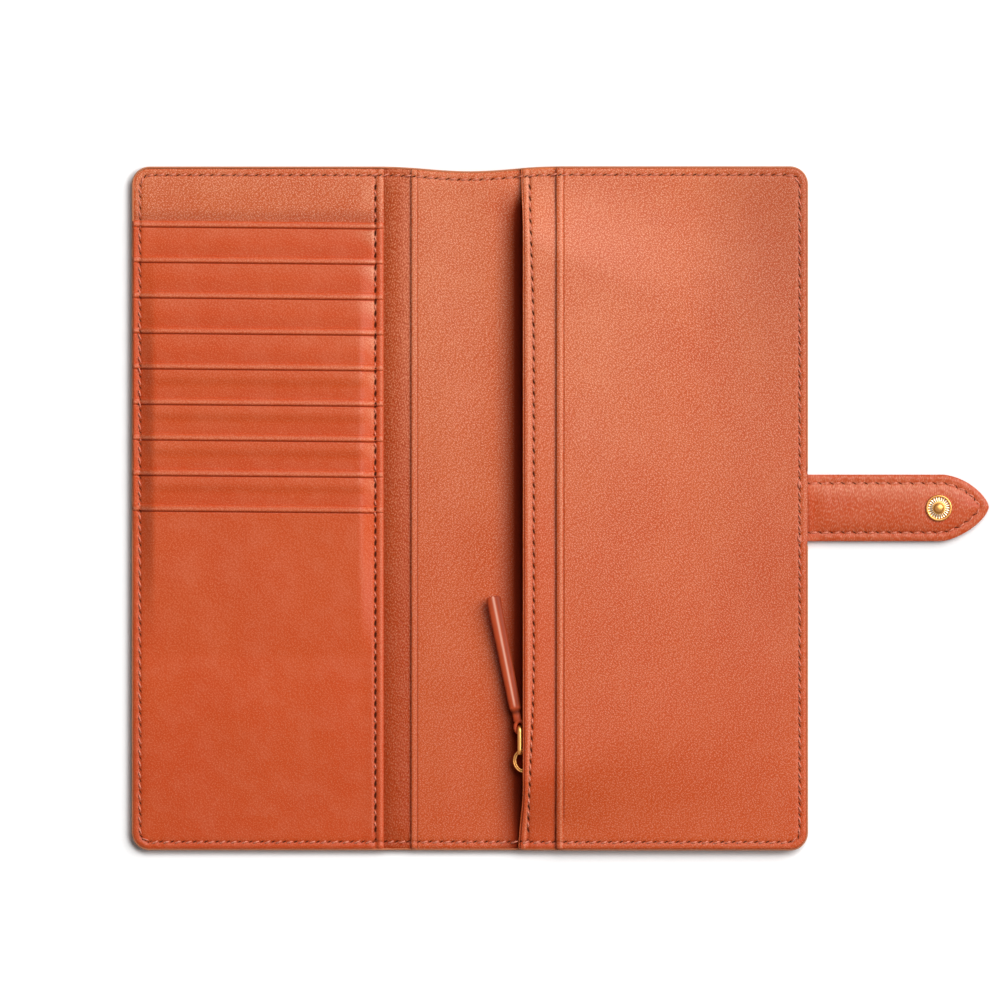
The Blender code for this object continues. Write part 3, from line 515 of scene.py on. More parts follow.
# With these numbers the slit is 1.5 by 0.44 mm, turned by 24 degrees
seamHole = {"along": 0.41, "across": 0.4, "slant": 1.56, "soft": (0.35, 1.6)}
nappaLook = {
    "dye": "#D46636", "redder": "#CE5828", "low": "#C84410",
    "pale": "#EE9C78", "deep": "#7E2408", "glint": "#EAA684", "shade": "#C44C1E",
    "hollow": "#4E1C0A", "paint": "#C47E56",
    "lowShare": 0.5, "lowSpan": (0.12, -0.125),   # painted shade: the colour deepens towards the bottom of the page, where the light falls off; in metres
    "cloud": 38.0, "patch": 9.0, "drift": 16.0,   # sizes in mm; the real grain is 0.3 mm,
    "pebble": (0.5, 0.85), "turn": 0.87,          # drawn coarser so that it shows
    "uneven": 0.8, "fuzz": 0.6, "glintFrom": 0.6,
    "wander": 1.2, "fleck": 0.08, "valley": 0.4, "speck": 0.92,
    "wearAndHighlight": (0.45, 1.05), "pebbleDepth": 0.05,
    "grooveWidth": 0.8, "grooveDepth": 0.12, "grooveShade": 0.3, "holeDepth": 0.2,
    "roughness": 0.33, "shine": 0.22,
}
pocketNappa = leather("nappa_calf_pockets", {})
# The zip wall's cut edge is painted a brighter orange than its dye: painted light on an edge that faces away from
# the key lamp
wallNappa = leather("nappa_calf_zip_pocket", {
    "turn": 0.5, "paint": "#EE7C3C", "low": "#CE4412", "lowShare": 0.62})
noteNappa = leather("nappa_calf_note_pocket", {"speck": 0.96})
slotNappa = leather("nappa_calf_card_slots", {
    "dye": "#D35222", "redder": "#D14D1F", "glint": "#E58E66", "lowShare": 0.06, "pebbleDepth": 0.03,
    "speck": 0.45, "valley": 0.25, "turn": -0.85})
outerNappa = leather("nappa_calf_outside", {"dye": "#C65226", "redder": "#C04A20", "lowShare": 0.3})
strapNappa = leather("nappa_calf_strap", {
    "dye": "#C85228", "redder": "#C64C20", "cloud": 16.0, "turn": -0.25, "pebble": (0.42, 1.5),
    "lowShare": 0.0, "speck": 0.5, "valley": 0.2})
liningCalf = leather("pebbled_lining_calf", {
    "dye": "#BC4E20", "redder": "#B8481C", "low": "#A83208", "glint": "#E4966E", "shade": "#A03812",
    "turn": -0.38, "pebble": (0.55, 1.0), "pebbleDepth": 0.1, "speck": 0.75, "valley": 0.45, "shine": 0.14})
print("stage 3: leathers ready")


def patterned(name, look):
    # Two clouded colours and a fine even relief; paler where the tone attribute paints highlights, darker where it
    # paints shade
    material, add = startMaterial(name)
    place = add("TexCoord", out="Object")
    cloud, grain = [add("TexNoise", {"Vector": place, "Scale": 1000 / size, "Detail": detail})
                    for size, detail in (look["cloud"], look["grain"])]
    tone = add("Attribute", out="Fac", attribute_name="tone")
    tint = toLinear(look["dye"])
    for share, colour in ((add("MapRange", [cloud, *noiseSpan, 0.0, 1.0], **softly), "second"),
                          (add("Math", [tone, 1.0], use_clamp=True, **times), "highlight"),
                          (add("Math", [tone, -1.0], use_clamp=True, **times), "hollow")):
        tint = add("Mix", {0: share, 6: tint, 7: toLinear(look[colour])}, **overlaid)
    rough, spread = look["roughness"]
    if spread:
        rough = add("MapRange", [grain, *noiseSpan, rough - spread, rough + spread], **softly)
    relief = add("Math", [grain, look["depth"]], **times) if look["depth"] else None
    finishMaterial(add, relief, Base_Color=tint, Roughness=rough, **look["shader"])
    return material


# Sizes in mm with the noise's detail. Gilt brass, die cast and tumbled: a warm mirror, faintly uneven
giltBrass = patterned("gilt_brass_tumbled", {
    "dye": "#E8A860", "second": "#DE9A52", "highlight": "#FFF4DE", "hollow": "#6A4418", "cloud": (8.0, 2.0),
    "grain": (0.8, 3.0), "depth": 0.0, "roughness": (0.34, 0.05), "shader": {"Metallic": 1.0}})
# Bonded leather board, pressed from fibres: dull brown with a fibre grain, inside the covers
bondedBoard = patterned("bonded_leather_board", {
    "dye": "#8A6748", "second": "#755238", "highlight": "#FFF4DE", "hollow": "#6A4418", "cloud": (9.0, 2.0),
    "grain": (0.9, 3.0), "depth": 0.05, "roughness": (0.85, 0.05), "shader": {"Metallic": 0.0}})
# Glazed calf, burnished and waxed: a smooth low shine over the orange dye, with a painted highlight along the top
# of the round
pullerCalf = patterned("glazed_calf_burnished", {
    "dye": "#CA522C", "second": "#BE4A24", "highlight": "#F2B49C", "hollow": "#702408", "cloud": (6.0, 3.0),
    "grain": (0.5, 2.0), "depth": 0.012, "roughness": (0.5, 0.0),
    "shader": {"Specular_IOR_Level": 0.15, "Coat_Weight": 0.06, "Coat_Roughness": 0.2}})


def banded(add, wave, colours, roughness, sheen):
    # Threads from a wave between -1 and 1: two colours and a relief
    share = add("MapRange", [wave, -1.0, 1.0, 0.0, 1.0], **softly)
    tint = add("Mix", {0: share, 6: toLinear(colours[0]), 7: toLinear(colours[1])}, **overlaid)
    relief = add("Math", [wave, 0.03], **times)
    finishMaterial(add, relief, Base_Color=tint, Roughness=roughness, Sheen_Weight=sheen)


def wovenTape():
    # Polyester zip tape, woven in plain bands: ribs of 0.6 mm along the zip crossed by 0.5 mm threads
    material, add = startMaterial("polyester_tape_woven")
    place = add("SeparateXYZ", [add("TexCoord", out="Object")])[0]
    across = add("Math", [(place, 0), (place, 2)], **plus)
    waves = [add("Math", [add("Math", [along, 2 * math.pi * 1000 / size], **times)], operation="SINE")
             for along, size in (((place, 1), 0.6), (across, 0.5))]
    banded(add, add("Math", waves, **times), ("#A64826", "#C2603A"), 0.8, 0.2)
    return material


def twistedThread():
    # Bonded polyester thread, three plies twisted: slanting bands round each stitch, a soft shine
    material, add = startMaterial("bonded_polyester_thread")
    ply = add("SeparateXYZ", [add("UVMap", uv_map="seam")])[0]
    turns = add("Math", [add("Math", [(ply, 0), (ply, 1)], **plus), 3.0 * 2 * math.pi], **times)
    banded(add, add("Math", [turns], operation="SINE"), ("#D86A4A", "#F09A7C"), 0.42, 0.15)
    return material


tapeCloth, thread = wovenTape(), twistedThread()
print("stage 4: hardware, cloth and thread materials ready")


# Heights of the layers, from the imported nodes

layer = {
    "base": nodeBox("back_outer_leather")[1][2],
    "lining": nodeBox("front_lining")[1][2],
    "divider": nodeBox("note_divider_spine")[1][2],
    "backing": nodeBox("card_backing")[1][2],
    "dividerEdge": nodeBox("note_divider_edge")[0][0],
    "cardEdge": nodeBox("card_backing")[1][0],
    "pocketFloor": 5.2,
    "wall": 0.8,
    "gap": 0.3,
    "mouthRise": 6.2,      # the CAD walls stand 0.4 mm higher, and the real leather settles
    "riseStart": 18.0,
    "riseEnd": 118.0,
    "endSeam": 122.0,
    "endRamp": 24.0,
    "rampGrowth": 0.45,    # the slope at both ends gets longer, and so fainter, away from the mouth
    "zipWallEdge": (17.9, 19.5, 18.8),  # at the bottom, in the middle, at the top
    "noteEdge": nodeBox("note_pocket_panel")[0][0],
    "noteFold": (2.7, -0.4, 0.22),      # a slope's start, length and height
    "wallRipple": (40, 11, 0.08),       # a ripple's size, seed and height
    "noteRipple": (45, 12, 0.07),
}
card = {
    "top": nodeBox("card_pocket_1")[1][1],
    "pitch": nodeBox("card_pocket_1")[1][1] - nodeBox("card_pocket_2")[1][1],
    "depth": nodeBox("card_pocket_1")[1][1] - nodeBox("card_pocket_1")[0][1],
    "pockets": 8,
    "floor": 4.2,
    "leather": 0.4,
    "step": 0.7,
    "ramp": 4.0,
    "rampStart": 0.8,
    "seam": 3.0,
    "droop": 6.0,
    "tilt": 0.0087,        # the sewn-in edges slope down to the right by half a degree
    "foldWidth": 2.15,
    "foldRise": 0.3,
    "foldNose": (0.9, 0.22),
    "crease": (2.3, 0.2, 0.2),
    "sideTile": 0.45,      # how far a folded edge stands over the one behind it, at the seams and in between
    "middleTile": 0.15,
    "seamX": -34.46,
    "panelStart": 12.0,    # how far below the last pocket the large panel is still level
    "panelSteps": 4.7,     # how many pockets lie under it at the most
}
wallSeam = {"low": 21.4, "middle": 23.5, "high": 22.0, "reach": 70.0}


def sideDroop(x):  # 0 at the card panel's two seams, 1 over the cards
    aside = np.minimum(x - left, layer["cardEdge"] - x) - card["seam"]
    return smoothStep(aside / card["droop"])


def pocketTop(number):
    return card["top"] - card["pitch"] * (number - 1)


def layersBeneath(number, y):  # how many sheets lie under this one: each ends one depth below its own top edge
    count = 0 * y
    for below in range(1, number):
        end = pocketTop(below) - card["depth"]
        count = count + smoothStep((y - end + card["ramp"] + card["rampStart"]) / card["ramp"])
    return count


def panelLayers(y):  # under the large panel the same steps, smoothed by the leather's stiffness
    last = pocketTop(card["pockets"]) - card["depth"]
    return np.clip((y - last + card["panelStart"]) / card["pitch"], 0, card["panelSteps"])


def cardTilt(x):  # how far a folded edge lies below its nominal height at x
    return card["tilt"] * (x - 0.5 * (left + layer["cardEdge"]))


def cardSurface(number, x, t):
    # Top of one pocket sheet, t below its folded edge: the layers beneath, the tile-like overlap,
    # the doubled leather of the fold and the pressed line below it
    y = pocketTop(number) - t
    beneath = panelLayers(y) if number > card["pockets"] else layersBeneath(number, y)
    droop = sideDroop(x)
    tile = card["sideTile"] * (1 - droop) + card["middleTile"] * droop
    fold = slope(t, (card["foldWidth"], -0.5, card["foldRise"]))
    z = card["floor"] + card["step"] * beneath * droop + card["leather"]
    z = z + tile * (1 - np.clip(t / card["pitch"], 0, 1)) + fold - nosed(t, card["foldNose"])
    return z - line(t, card["crease"])


def mouthRise(x, y):  # how far the zip stands the pocket open
    acrossShare = np.clip((layer["riseEnd"] - x) / (layer["riseEnd"] - layer["riseStart"]), 0, 1)
    reach = layer["endRamp"] + layer["rampGrowth"] * np.maximum(x - layer["riseStart"], 0)
    return layer["mouthRise"] * acrossShare * smoothStep((layer["endSeam"] - np.abs(y)) / reach)


def bowed(y, low, middle, high, reach):  # an x that goes from low or high at the ends to middle in this reach
    ends = np.where(y < 0, low, high)
    return ends + (middle - ends) * smoothStep((halfHeight - np.abs(y)) / reach)


def zipWallEdge(y):
    return bowed(y, *layer["zipWallEdge"], layer["endRamp"])


def wallSeamX(y):  # the zip wall's seam bows right
    return bowed(y, *wallSeam.values())


def zipWallTop(x, y):
    return layer["pocketFloor"] + layer["wall"] + mouthRise(x, y) + ripple(x, y, *layer["wallRipple"])


def noteTop(x, y):
    base = layer["pocketFloor"] + 2 * layer["wall"] + layer["gap"] + mouthRise(x, y)
    over = x - layer["noteEdge"]
    return base + slope(over, layer["noteFold"]) + ripple(x, y, *layer["noteRipple"]) * smoothStep(over / 20)


def visibleTop(x, y):  # height of the leather that shows at x, y
    number = np.clip(np.ceil((card["top"] - cardTilt(x) - y) / card["pitch"]), 0, card["pockets"] + 1)
    cards = layer["backing"] + 0 * x
    for k in range(1, card["pockets"] + 2):
        cards = np.where(number == k, cardSurface(k, x, np.maximum(pocketTop(k) - cardTilt(x) - y, 0)), cards)
    return np.select([x < layer["cardEdge"], x < layer["dividerEdge"], x < zipWallEdge(y), x < layer["noteEdge"]],
                     [cards, layer["lining"] + 0 * x, layer["divider"] + 0 * x, zipWallTop(x, y)], noteTop(x, y))


# Seams as fields: distance across and stitches along, for the shader's needle holes

straightSeams = {  # hole and slant as in seamHole: longer slits, and nearly in line with the seam
    "card": {"x": lambda y: card["seamX"] + 0 * y, "hole": 1.05, "slant": -0.6, "pitch": 4.2},
    "wall": {"x": wallSeamX, "hole": 0.75, "slant": 1.6, "pitch": 4.2},
}
holeInward = 0.12   # the holes of the seam round the wallet lie a little inside it
slitReach = 1.5     # the holes slant within this distance of their seam
seamShape = {       # lines and a slope, by the distance from the edge
    "valley": (wallet["seamInset"], 0.95, -0.24), "outside": (2.1, 0.7, -0.1), "inside": (4.3, 1.0, -0.06),
    "fall": (1.7, -1.0, -0.3),
}


def seamField(x, y, extra=None):
    # The nearest seam's distance, its stitch count and the half length of its needle holes, at each point.
    # The count is sheared by the distance across, so that the holes slant.
    inward = edgeDistance(x, y) - wallet["seamInset"] - holeInward
    distance = np.abs(inward)
    near = np.clip(inward, -slitReach, slitReach)
    along = seamPlace(x, y) / seamPitch - seamHole["slant"] * near / wallet["stitchPitch"]
    hole = np.full(x.shape, seamHole["along"])
    if extra:
        facts = straightSeams[extra]
        aside = x - facts["x"](y)
        nearer = (np.abs(aside) < distance) & (np.abs(y) < halfHeight - wallet["seamInset"] - 0.5)
        sheared = (y + facts["slant"] * np.clip(aside, -slitReach, slitReach)) / facts["pitch"]
        distance = np.where(nearer, np.abs(aside), distance)
        along, hole = np.where(nearer, sheared, along), np.where(nearer, facts["hole"], hole)
    return np.stack([distance, along], -1), hole


def seamRelief(x, y):
    # Leather drawn in by the perimeter seam: a valley at the stitches, a puffed scallop between
    # each pair of holes and the edge, and a rounded fall at the edge itself
    d = edgeDistance(x, y)
    scallop = line(d, seamShape["outside"]) + line(d, seamShape["inside"])
    return (line(d, seamShape["valley"]) + slope(d, seamShape["fall"])
            + scallop * np.cos(2 * np.pi * seamPlace(x, y) / seamPitch))


def rowPlaces(inset):  # heights of the rows: close round the corners, even between
    arc = nearHigh + (radius - inset) * np.sin(np.linspace(0, np.pi / 2, 11))
    return places(-arc, steps(nearLow, nearHigh, wallet["rowSize"]), arc)


def onPage(x, v, inset):  # v of the way from the bottom edge up to the dipped top edge, both moved in
    return (-halfHeight + inset) * (1 - v) + (topEdge(x) - inset) * v


def coverGrid(columns, rows, inset, side=None):
    # A grid on the wallet's outline, moved in by inset: rows follow the top edge's dip, and the outermost
    # columns follow the rounded corners on the side that has them
    x, y = np.meshgrid(columns, rows)
    if side:
        share = (columns - columns[0]) / (columns[-1] - columns[0])
        share, way = (share, -1) if side == "right" else (1 - share, 1)
        x = x + way * cornerPull(y, inset) * share ** 2
    return x, onPage(x, (y + halfHeight - inset) / (2 * (halfHeight - inset)), inset)


# The three long layers are made in two, meeting on the spine, one half on each side of the fold

halves = {"right": "foldBack", "left": "foldFront"}
spineRight, spineLeft = steps(0, 10, 0.5), steps(-10, 0, 0.5)

# Outer leather: the underside, a turned rim all round and the flat inside

outer = {
    "borderInset": 1.6, "socket": tuple(nodeMiddle("snap_socket")[:2]),
    "seam": (wallet["seamInset"], 0.8, 0.22),   # the underside is drawn up at the seam
    "dish": (7.8, -3.2, 0.55), "well": (2.7, -0.4, 0.78),  # and sinks in round the socket: slopes by distance
    "rimUnder": ((17.5, 2, 1.6), (layer["noteEdge"] - 1, 2, 1.1)),  # the rim rises beside the pockets
    "strapGap": (14.3, -1.2, 1), "strapRim": 1.3,   # and is low where the strap lies on it
}
strap = {
    "y": 0.2, "halfWidth": 12.2, "root": 113.0, "split": 134.0, "tip": nodeBox("strap_tip_outer")[1][0],
    "pointLength": 17.3, "pointPowers": (1.6, 1.5), "lean": 0.37, "seamInset": 3.2, "pitch": 4.2,
    "bottom": 1.45, "edge": 2.4, "roll": 3.08, "valley": 2.97, "crown": 4.0, "skived": 3.15, "coverEdge": 124.2,
}


def rimHeight(x, y):  # the turned rim ends just below the layers that it holds
    inside = np.select([x < layer["cardEdge"], x < layer["dividerEdge"]], [4.15, 3.15], 3.75)
    rise = sum(slope(x, shape) for shape in outer["rimUnder"])
    strapSide = (x > right - 12) * slope(np.abs(y - strap["y"]), outer["strapGap"])
    return (inside + rise) * (1 - strapSide) + outer["strapRim"] * strapSide


def outerUnder(x, y):  # the table side: level, drawn up at the seam and dished round the snap socket
    reach = np.hypot(x - outer["socket"][0], y - outer["socket"][1])
    return (line(edgeDistance(x, y), outer["seam"]) + slope(reach, outer["dish"]) + slope(reach, outer["well"])
            + 0.02)


def outerRim(top, bottom, border):
    # (out, share) loops of the turned rim, from the flat inside up, over and down to the underside
    rise = rimHeight(border[:, 0], border[:, 1])
    wide = outer["borderInset"]
    inner = wide - wallet["rimWidth"]
    profile = [(inner - 0.3, top), (inner, top + 0.3), (inner, rise - 0.45), (inner + 0.1, rise - 0.15),
               (inner + 0.32, rise), (inner + 0.52, rise - 0.12), (wide, rise - 0.5), (wide, 0.9),
               (wide - 0.12, 0.45), (wide - 0.4, 0.14), (wide - 0.9, 0.02)]
    return [(out, (top - (z + 0 * rise)) / (top - bottom)) for out, z in profile]


for side, carrier in halves.items():
    inset = outer["borderInset"]
    rows = rowPlaces(inset)
    if side == "right":
        columns = places(spineRight, steps(10, right - 8, 2.0), steps(right - 8, right - inset, 0.5))
        nodes = ["back_outer_leather", "spine_outer_leather"]
    else:
        middle = outer["socket"][0]
        columns = places(steps(left + inset, left + 8, 0.5), steps(left + 8, middle - 9, 1.6),
                         steps(middle - 9, middle + 9, 0.45), steps(middle + 9, -10, 2.0), spineLeft)
        rows = places(rows[np.abs(rows) > 9], steps(-9, 9, 0.45))
        nodes = ["front_outer_leather"]
    x, y = coverGrid(columns, rows, inset, side)
    under = outerUnder(x, y)
    over = np.maximum(layer["base"], under + 0.25)
    top = stack(x, y, over)
    rim = rimOrder(*x.shape)
    loops = outerRim(over.ravel()[rim], under.ravel()[rim], top.reshape(-1, 3)[rim])
    piece = closedSheet(f"outer_leather_{side}", top, stack(x, y, under), outerNappa, loops, 0.0,
                        under=seamField(x, y)[0], edgePaint=0.85)
    fitted(piece, "outside_leather", carrier, *nodes)

# Lining: pebbled leather over both covers, seen as a strip beside the card panel

lining = {"middle": (layer["cardEdge"] + layer["dividerEdge"]) / 2 - 0.8, "halfWidth": 5.0, "bulge": 0.5,
          "ripple": (12, 21, 0.05), "seamShare": 0.8, "thick": 0.6,
          "shadow": (layer["cardEdge"], 2.2, -0.3), "light": (-30, 110, 0.22)}
for side, carrier in halves.items():
    inset = wallet["inner"]
    if side == "right":
        columns = places(spineRight, steps(10, right - inset, 6.0))
        nodes = ["back_lining", "spine_lining"]
    else:
        columns = places(steps(left + inset, -36, 6.0), steps(-36, -20, 0.8), steps(-20, -10, 2.0), spineLeft)
        nodes = ["front_lining"]
    x, y = coverGrid(columns, rowPlaces(inset), inset, side)
    across = (x - lining["middle"]) / lining["halfWidth"]
    bulge = lining["bulge"] * np.clip(1 - across ** 2, 0, 1) * smoothStep((halfHeight - 3.5 - np.abs(y)) / 5)
    z = layer["lining"] + ripple(x, y, *lining["ripple"]) + seamRelief(x, y) * lining["seamShare"] + bulge
    tone = line(x, lining["shadow"]) + smoothStep(across) * slope(y, lining["light"])
    piece = closedSheet(f"lining_{side}", stack(x, y, z), stack(x, y, z - lining["thick"]), liningCalf,
                        halfRound(0.25), 0.0, tone, seamField(x, y))
    fitted(piece, "lining", carrier, *nodes)

# Note divider: smooth leather over the spine, with a folded left edge

divider = {
    "fold": (2.2, -0.5, 0.14), "crease": (2.25, 0.2, -0.12), "hollow": (0, 9, -0.25), "ripple": (30, 31, 0.12),
    "nose": (0.8, 0.2), "thick": 0.5,
    "creaseTone": (2.25, 0.22, -0.6), "foldTone": (1.2, 0.5, 0.2),
    "shadow": (6, 13, 1), "shadowPower": 1.4, "shadowShare": 0.9,  # under the mouth of the zip pocket
    "core": (15.5, 2, 0.35), "shadowEnd": (120.5, -14, 1), "light": (-60, 160, 0.16), "lightEnd": (12, -10, 1),
}


for side, carrier in halves.items():
    inset = wallet["inner"]
    if side == "right":
        columns = places(spineRight, steps(10, 24, 0.8), steps(24, right - inset, 6.0))
        nodes = ["note_divider_back", "note_divider_spine"]
    else:
        start = layer["dividerEdge"] + 0.25
        columns = places(steps(start, start + 3.4, 0.17), steps(start + 3.4, -10, 0.8), spineLeft)
        nodes = ["note_divider_edge"]
    x, y = coverGrid(columns, rowPlaces(inset), inset, "right" if side == "right" else None)
    over = x - layer["dividerEdge"]
    hollow = line(x, divider["hollow"]) * smoothStep((halfHeight - np.abs(y)) / 30)
    z = layer["divider"] + slope(over, divider["fold"]) + line(over, divider["crease"]) + hollow
    z = z + ripple(x, y, *divider["ripple"]) * smoothStep((over - 3) / 8)
    z = z + seamRelief(x, y) - nosed(over, divider["nose"])
    shadow = divider["shadowShare"] * slope(x, divider["shadow"]) ** divider["shadowPower"]
    shadow = (shadow + slope(x, divider["core"])) * slope(y, divider["shadowEnd"])
    # Tone: painted shade in the crease, a painted highlight on the fold, the painted shadow under the zip pocket's
    # mouth and painted light towards the top
    tone = line(over, divider["creaseTone"]) + line(over, divider["foldTone"])
    tone = tone - shadow + slope(y, divider["light"]) * slope(x, divider["lightEnd"])
    piece = closedSheet(f"note_divider_{side}", stack(x, y, z), stack(x, y, z - divider["thick"]), pocketNappa,
                        halfRound(0.25), 0.0, tone, seamField(x, y), edgeTone=0.1)
    fitted(piece, "pocket_leather", carrier, *nodes)
print("stage 5: outer leather, lining and divider")

# Card side: backing, eight pocket sheets and the large panel

inset = wallet["inner"]
cardLeft, cardRight = left + inset, layer["cardEdge"]
cardColumns = places(steps(cardLeft, cardLeft + 5, 0.5), steps(cardLeft + 5, cardLeft + 11, 0.8),
                     steps(cardLeft + 11, card["seamX"] - 7, 1.6),
                     steps(card["seamX"] - 7, card["seamX"] - 2, 0.7),
                     steps(card["seamX"] - 2, cardRight - 0.3, 0.35))
edging = {  # the strip right of the seam is padded: down at the seam, round over the free edge; painted with a highlight along its crown and shade beside it
    "seam": (card["seamX"], 0.8, -0.32), "nose": (1.3, 0.42),
    "light": (1.0, 0.45, 0.3), "dark": (2.2, 0.5, -0.18),
}


def cardEdgeRelief(x):
    return line(x, edging["seam"]) - nosed(cardRight - x, edging["nose"])


# painted highlight along the card panel's edge strip, and painted shade beside it
def cardEdgeTone(x):
    return line(cardRight - x, edging["light"]) + line(cardRight - x, edging["dark"])


def cardThickness(t):  # the fold doubles the leather
    return card["leather"] + slope(t, (2.2, -0.5, card["foldRise"]))


def cardSheet(name, x, y, z, thick, material, edge, tone, node, edgeTone=0.0):
    piece = closedSheet(name, stack(x, y, z), stack(x, y, z - thick), material, halfRound(edge), None, tone,
                        seamField(x, y, "card"), edgeTone=edgeTone)
    fitted(piece, "pocket_leather", "front_cover", node)


backing = {  # darker down to the first pocket's edge, painted sheen towards the top, and a painted highlight beside the seam at the top
    "dark": (card["top"] + 6, -5, -0.25), "pale": (108, 12, 0.14), "sheenSpot": (card["seamX"] - 3.2, 2.4, 0.35),
    "sheenSpotFrom": (108, 4, 1), "sheenSpotTo": (121, -4, 1), "tone": -0.06, "ripple": (25, 41, 0.08),
}
rows = rowPlaces(inset)
rows = places(rows[rows > card["top"] - 6], steps(-halfHeight + inset, card["top"] - 6, 4.0),
              rows[rows < nearLow])
x, y = coverGrid(cardColumns, rows, inset, "left")
z = layer["backing"] + seamRelief(x, y) + cardEdgeRelief(x) + ripple(x, y, *backing["ripple"])
tone = backing["tone"] + slope(y, backing["dark"]) + slope(y, backing["pale"]) + cardEdgeTone(x)
tone = tone + line(x, backing["sheenSpot"]) * slope(y, backing["sheenSpotFrom"]) * slope(y, backing["sheenSpotTo"])
cardSheet("card_backing_leather", x, y, z, 0.5, pocketNappa, 0.3, tone, "card_backing")

foldRows = np.array([0.0, 0.1, 0.3, 0.6, 1.0, 1.35, 1.65, 1.85, 2.0, 2.1, 2.2, 2.3, 2.4, 2.52, 2.7, 3.0])
bodyLeft = left + card["seam"] + card["droop"]
bodyRight = cardRight - card["seam"] - card["droop"]
share = (cardColumns - cardColumns[0]) / (cardColumns[-1] - cardColumns[0])
slot = {
    "fold": (1.2, 0.5, 1), "foldTone": 0.42, "foldSheen": 0.5,           # the fold's pale edge: partly from use, partly a painted highlight, with painted sheen near the right seam
    # painted shade in the crease below the fold
    "crease": (2.3, 0.24, -0.95),
    "below": 0.1, "fade": (3, 9, -0.2),                                 # paler below the fold, then darker
    "cornerReach": (0.8, 3.6, 11), "cornerFade": 0.08, "corner": 1.1,   # a painted highlight at the right seam, where the leather puckers
    "cornerFrom": (2.7, 0.5, 1), "cornerTo": (11.7, -8.5, 1),
    "waistAt": 14.4, "ripple": (22, 50, 0.05), "drawn": (left + wallet["seamInset"], 0.9, -0.22),
}


def cardTone(x, t, number):  # a pale folded edge, partly from use and partly painted highlight, painted shade in the pressed line and a painted highlight at the right corner
    least, more, length = slot["cornerReach"]
    reach = least + more * np.clip(1 - t / length, 0, 1)
    rightEnd = np.exp(-np.maximum(card["seamX"] - 0.8 - x, 0) / reach) * (x < card["seamX"] + 0.4)
    rightEnd = rightEnd * (1.0 - slot["cornerFade"] * (number - 1))
    fold = (slot["foldTone"] + slot["foldSheen"] * rightEnd) * line(t, slot["fold"])
    crease = line(t, slot["crease"]) * (x > left + 2.2) * (x < card["seamX"] + 0.6)
    below = np.where(t > 2.5, slot["below"] + slope(t, slot["fade"]), 0.0) * sideDroop(x)
    corner = slot["corner"] * rightEnd * slope(t, slot["cornerFrom"]) * slope(t, slot["cornerTo"])
    return fold + crease + below + corner + cardEdgeTone(x)


for number in range(1, card["pockets"] + 1):
    t = places(foldRows, steps(3.0, 12.6, 0.8), [13.4, 14.4], [15.2], steps(18, card["depth"], 6.0))[::-1]
    narrow = smoothStep((t - slot["waistAt"]) / 0.8)[:, None]
    x = cardColumns[None] * (1 - narrow) + (bodyLeft + share[None] * (bodyRight - bodyLeft)) * narrow
    t = np.broadcast_to(t[:, None], x.shape)
    y = pocketTop(number) - t - cardTilt(x) * smoothStep((30 - t) / 15)
    size, seed, rise = slot["ripple"]
    wobble = ripple(x, y, size, seed + number, rise) * sideDroop(x) * smoothStep((t - 2.5) / 3)
    z = cardSurface(number, x, t) + wobble + cardEdgeRelief(x) + line(x, slot["drawn"])
    cardSheet(f"card_slot_{number}", x, y, z, cardThickness(t), slotNappa, 0.2, cardTone(x, t, number),
              f"card_pocket_{number}", -0.1)

panel = {"tone": 0.06, "fade": (20, 100, -0.14), "ripple": (35, 61, 0.1)}
number = card["pockets"] + 1
rows = rowPlaces(inset)
t = pocketTop(number) - rows[rows < pocketTop(number) - 3.2]
rows = pocketTop(number) - places(foldRows, t)[::-1]
x, y = coverGrid(cardColumns, rows, inset, "left")
y = y - cardTilt(x) * smoothStep((y - pocketTop(number) + 40) / 40)
t = np.broadcast_to((pocketTop(number) - rows)[:, None], x.shape)
z = cardSurface(number, x, t) + ripple(x, y, *panel["ripple"]) * smoothStep((t - 2.5) / 6) * sideDroop(x)
z = z + seamRelief(x, y) + cardEdgeRelief(x)
low = cardEdgeTone(x) + panel["tone"] * sideDroop(x) + slope(t, panel["fade"])
cardSheet("card_large_panel", x, y, z, cardThickness(t), slotNappa, 0.25,
          np.where(t < 3, cardTone(x, t, number), low), "card_front_panel")
print("stage 6: card side")

# Zip side: lower wall, the wall above the zip and the note panel


def openStrap(x, y):  # where the strap leaves under the right seam the layers above reach the outline
    return slope(np.abs(y - strap["y"]), (13.4, -1.2, 0.55)) * smoothStep((x - right + 3) / 2)


def wallGrid(edge, fractions, rows, inset):
    # Columns run from a free edge, which may bow, to the right seam; fractions are millimetres from that edge
    # up to the last one, which is stretched to meet the seam
    x0 = edge(rows)[:, None]
    end = right - inset - cornerPull(rows, inset)[:, None]
    along = fractions[None] / fractions[-1]
    x = x0 + fractions[None] * (1 + (end - x0 - fractions[-1]) / fractions[-1] * along ** 3)
    y = onPage(x, (rows[:, None] + halfHeight - inset) / (2 * (halfHeight - inset)), inset)
    return x + openStrap(x, y), y


lowWall = {"ripple": (15, 71, 0.04), "thick": 0.5, "tone": -0.2}
rows = rowPlaces(inset)
low, high = nodeBox("zip_pocket_lower_wall")
x, y = coverGrid(places(steps(low[0] + 0.2, 40, 1.5), steps(40, right - inset, 6.0)), rows, inset, "right")
x = x + openStrap(x, y)
z = high[2] + ripple(x, y, *lowWall["ripple"])
piece = closedSheet("zip_pocket_lining", stack(x, y, z), stack(x, y, z - lowWall["thick"]), liningCalf,
                    halfRound(0.2), tone=lowWall["tone"])
fitted(piece, "lining", "back_cover", "zip_pocket_lower_wall")

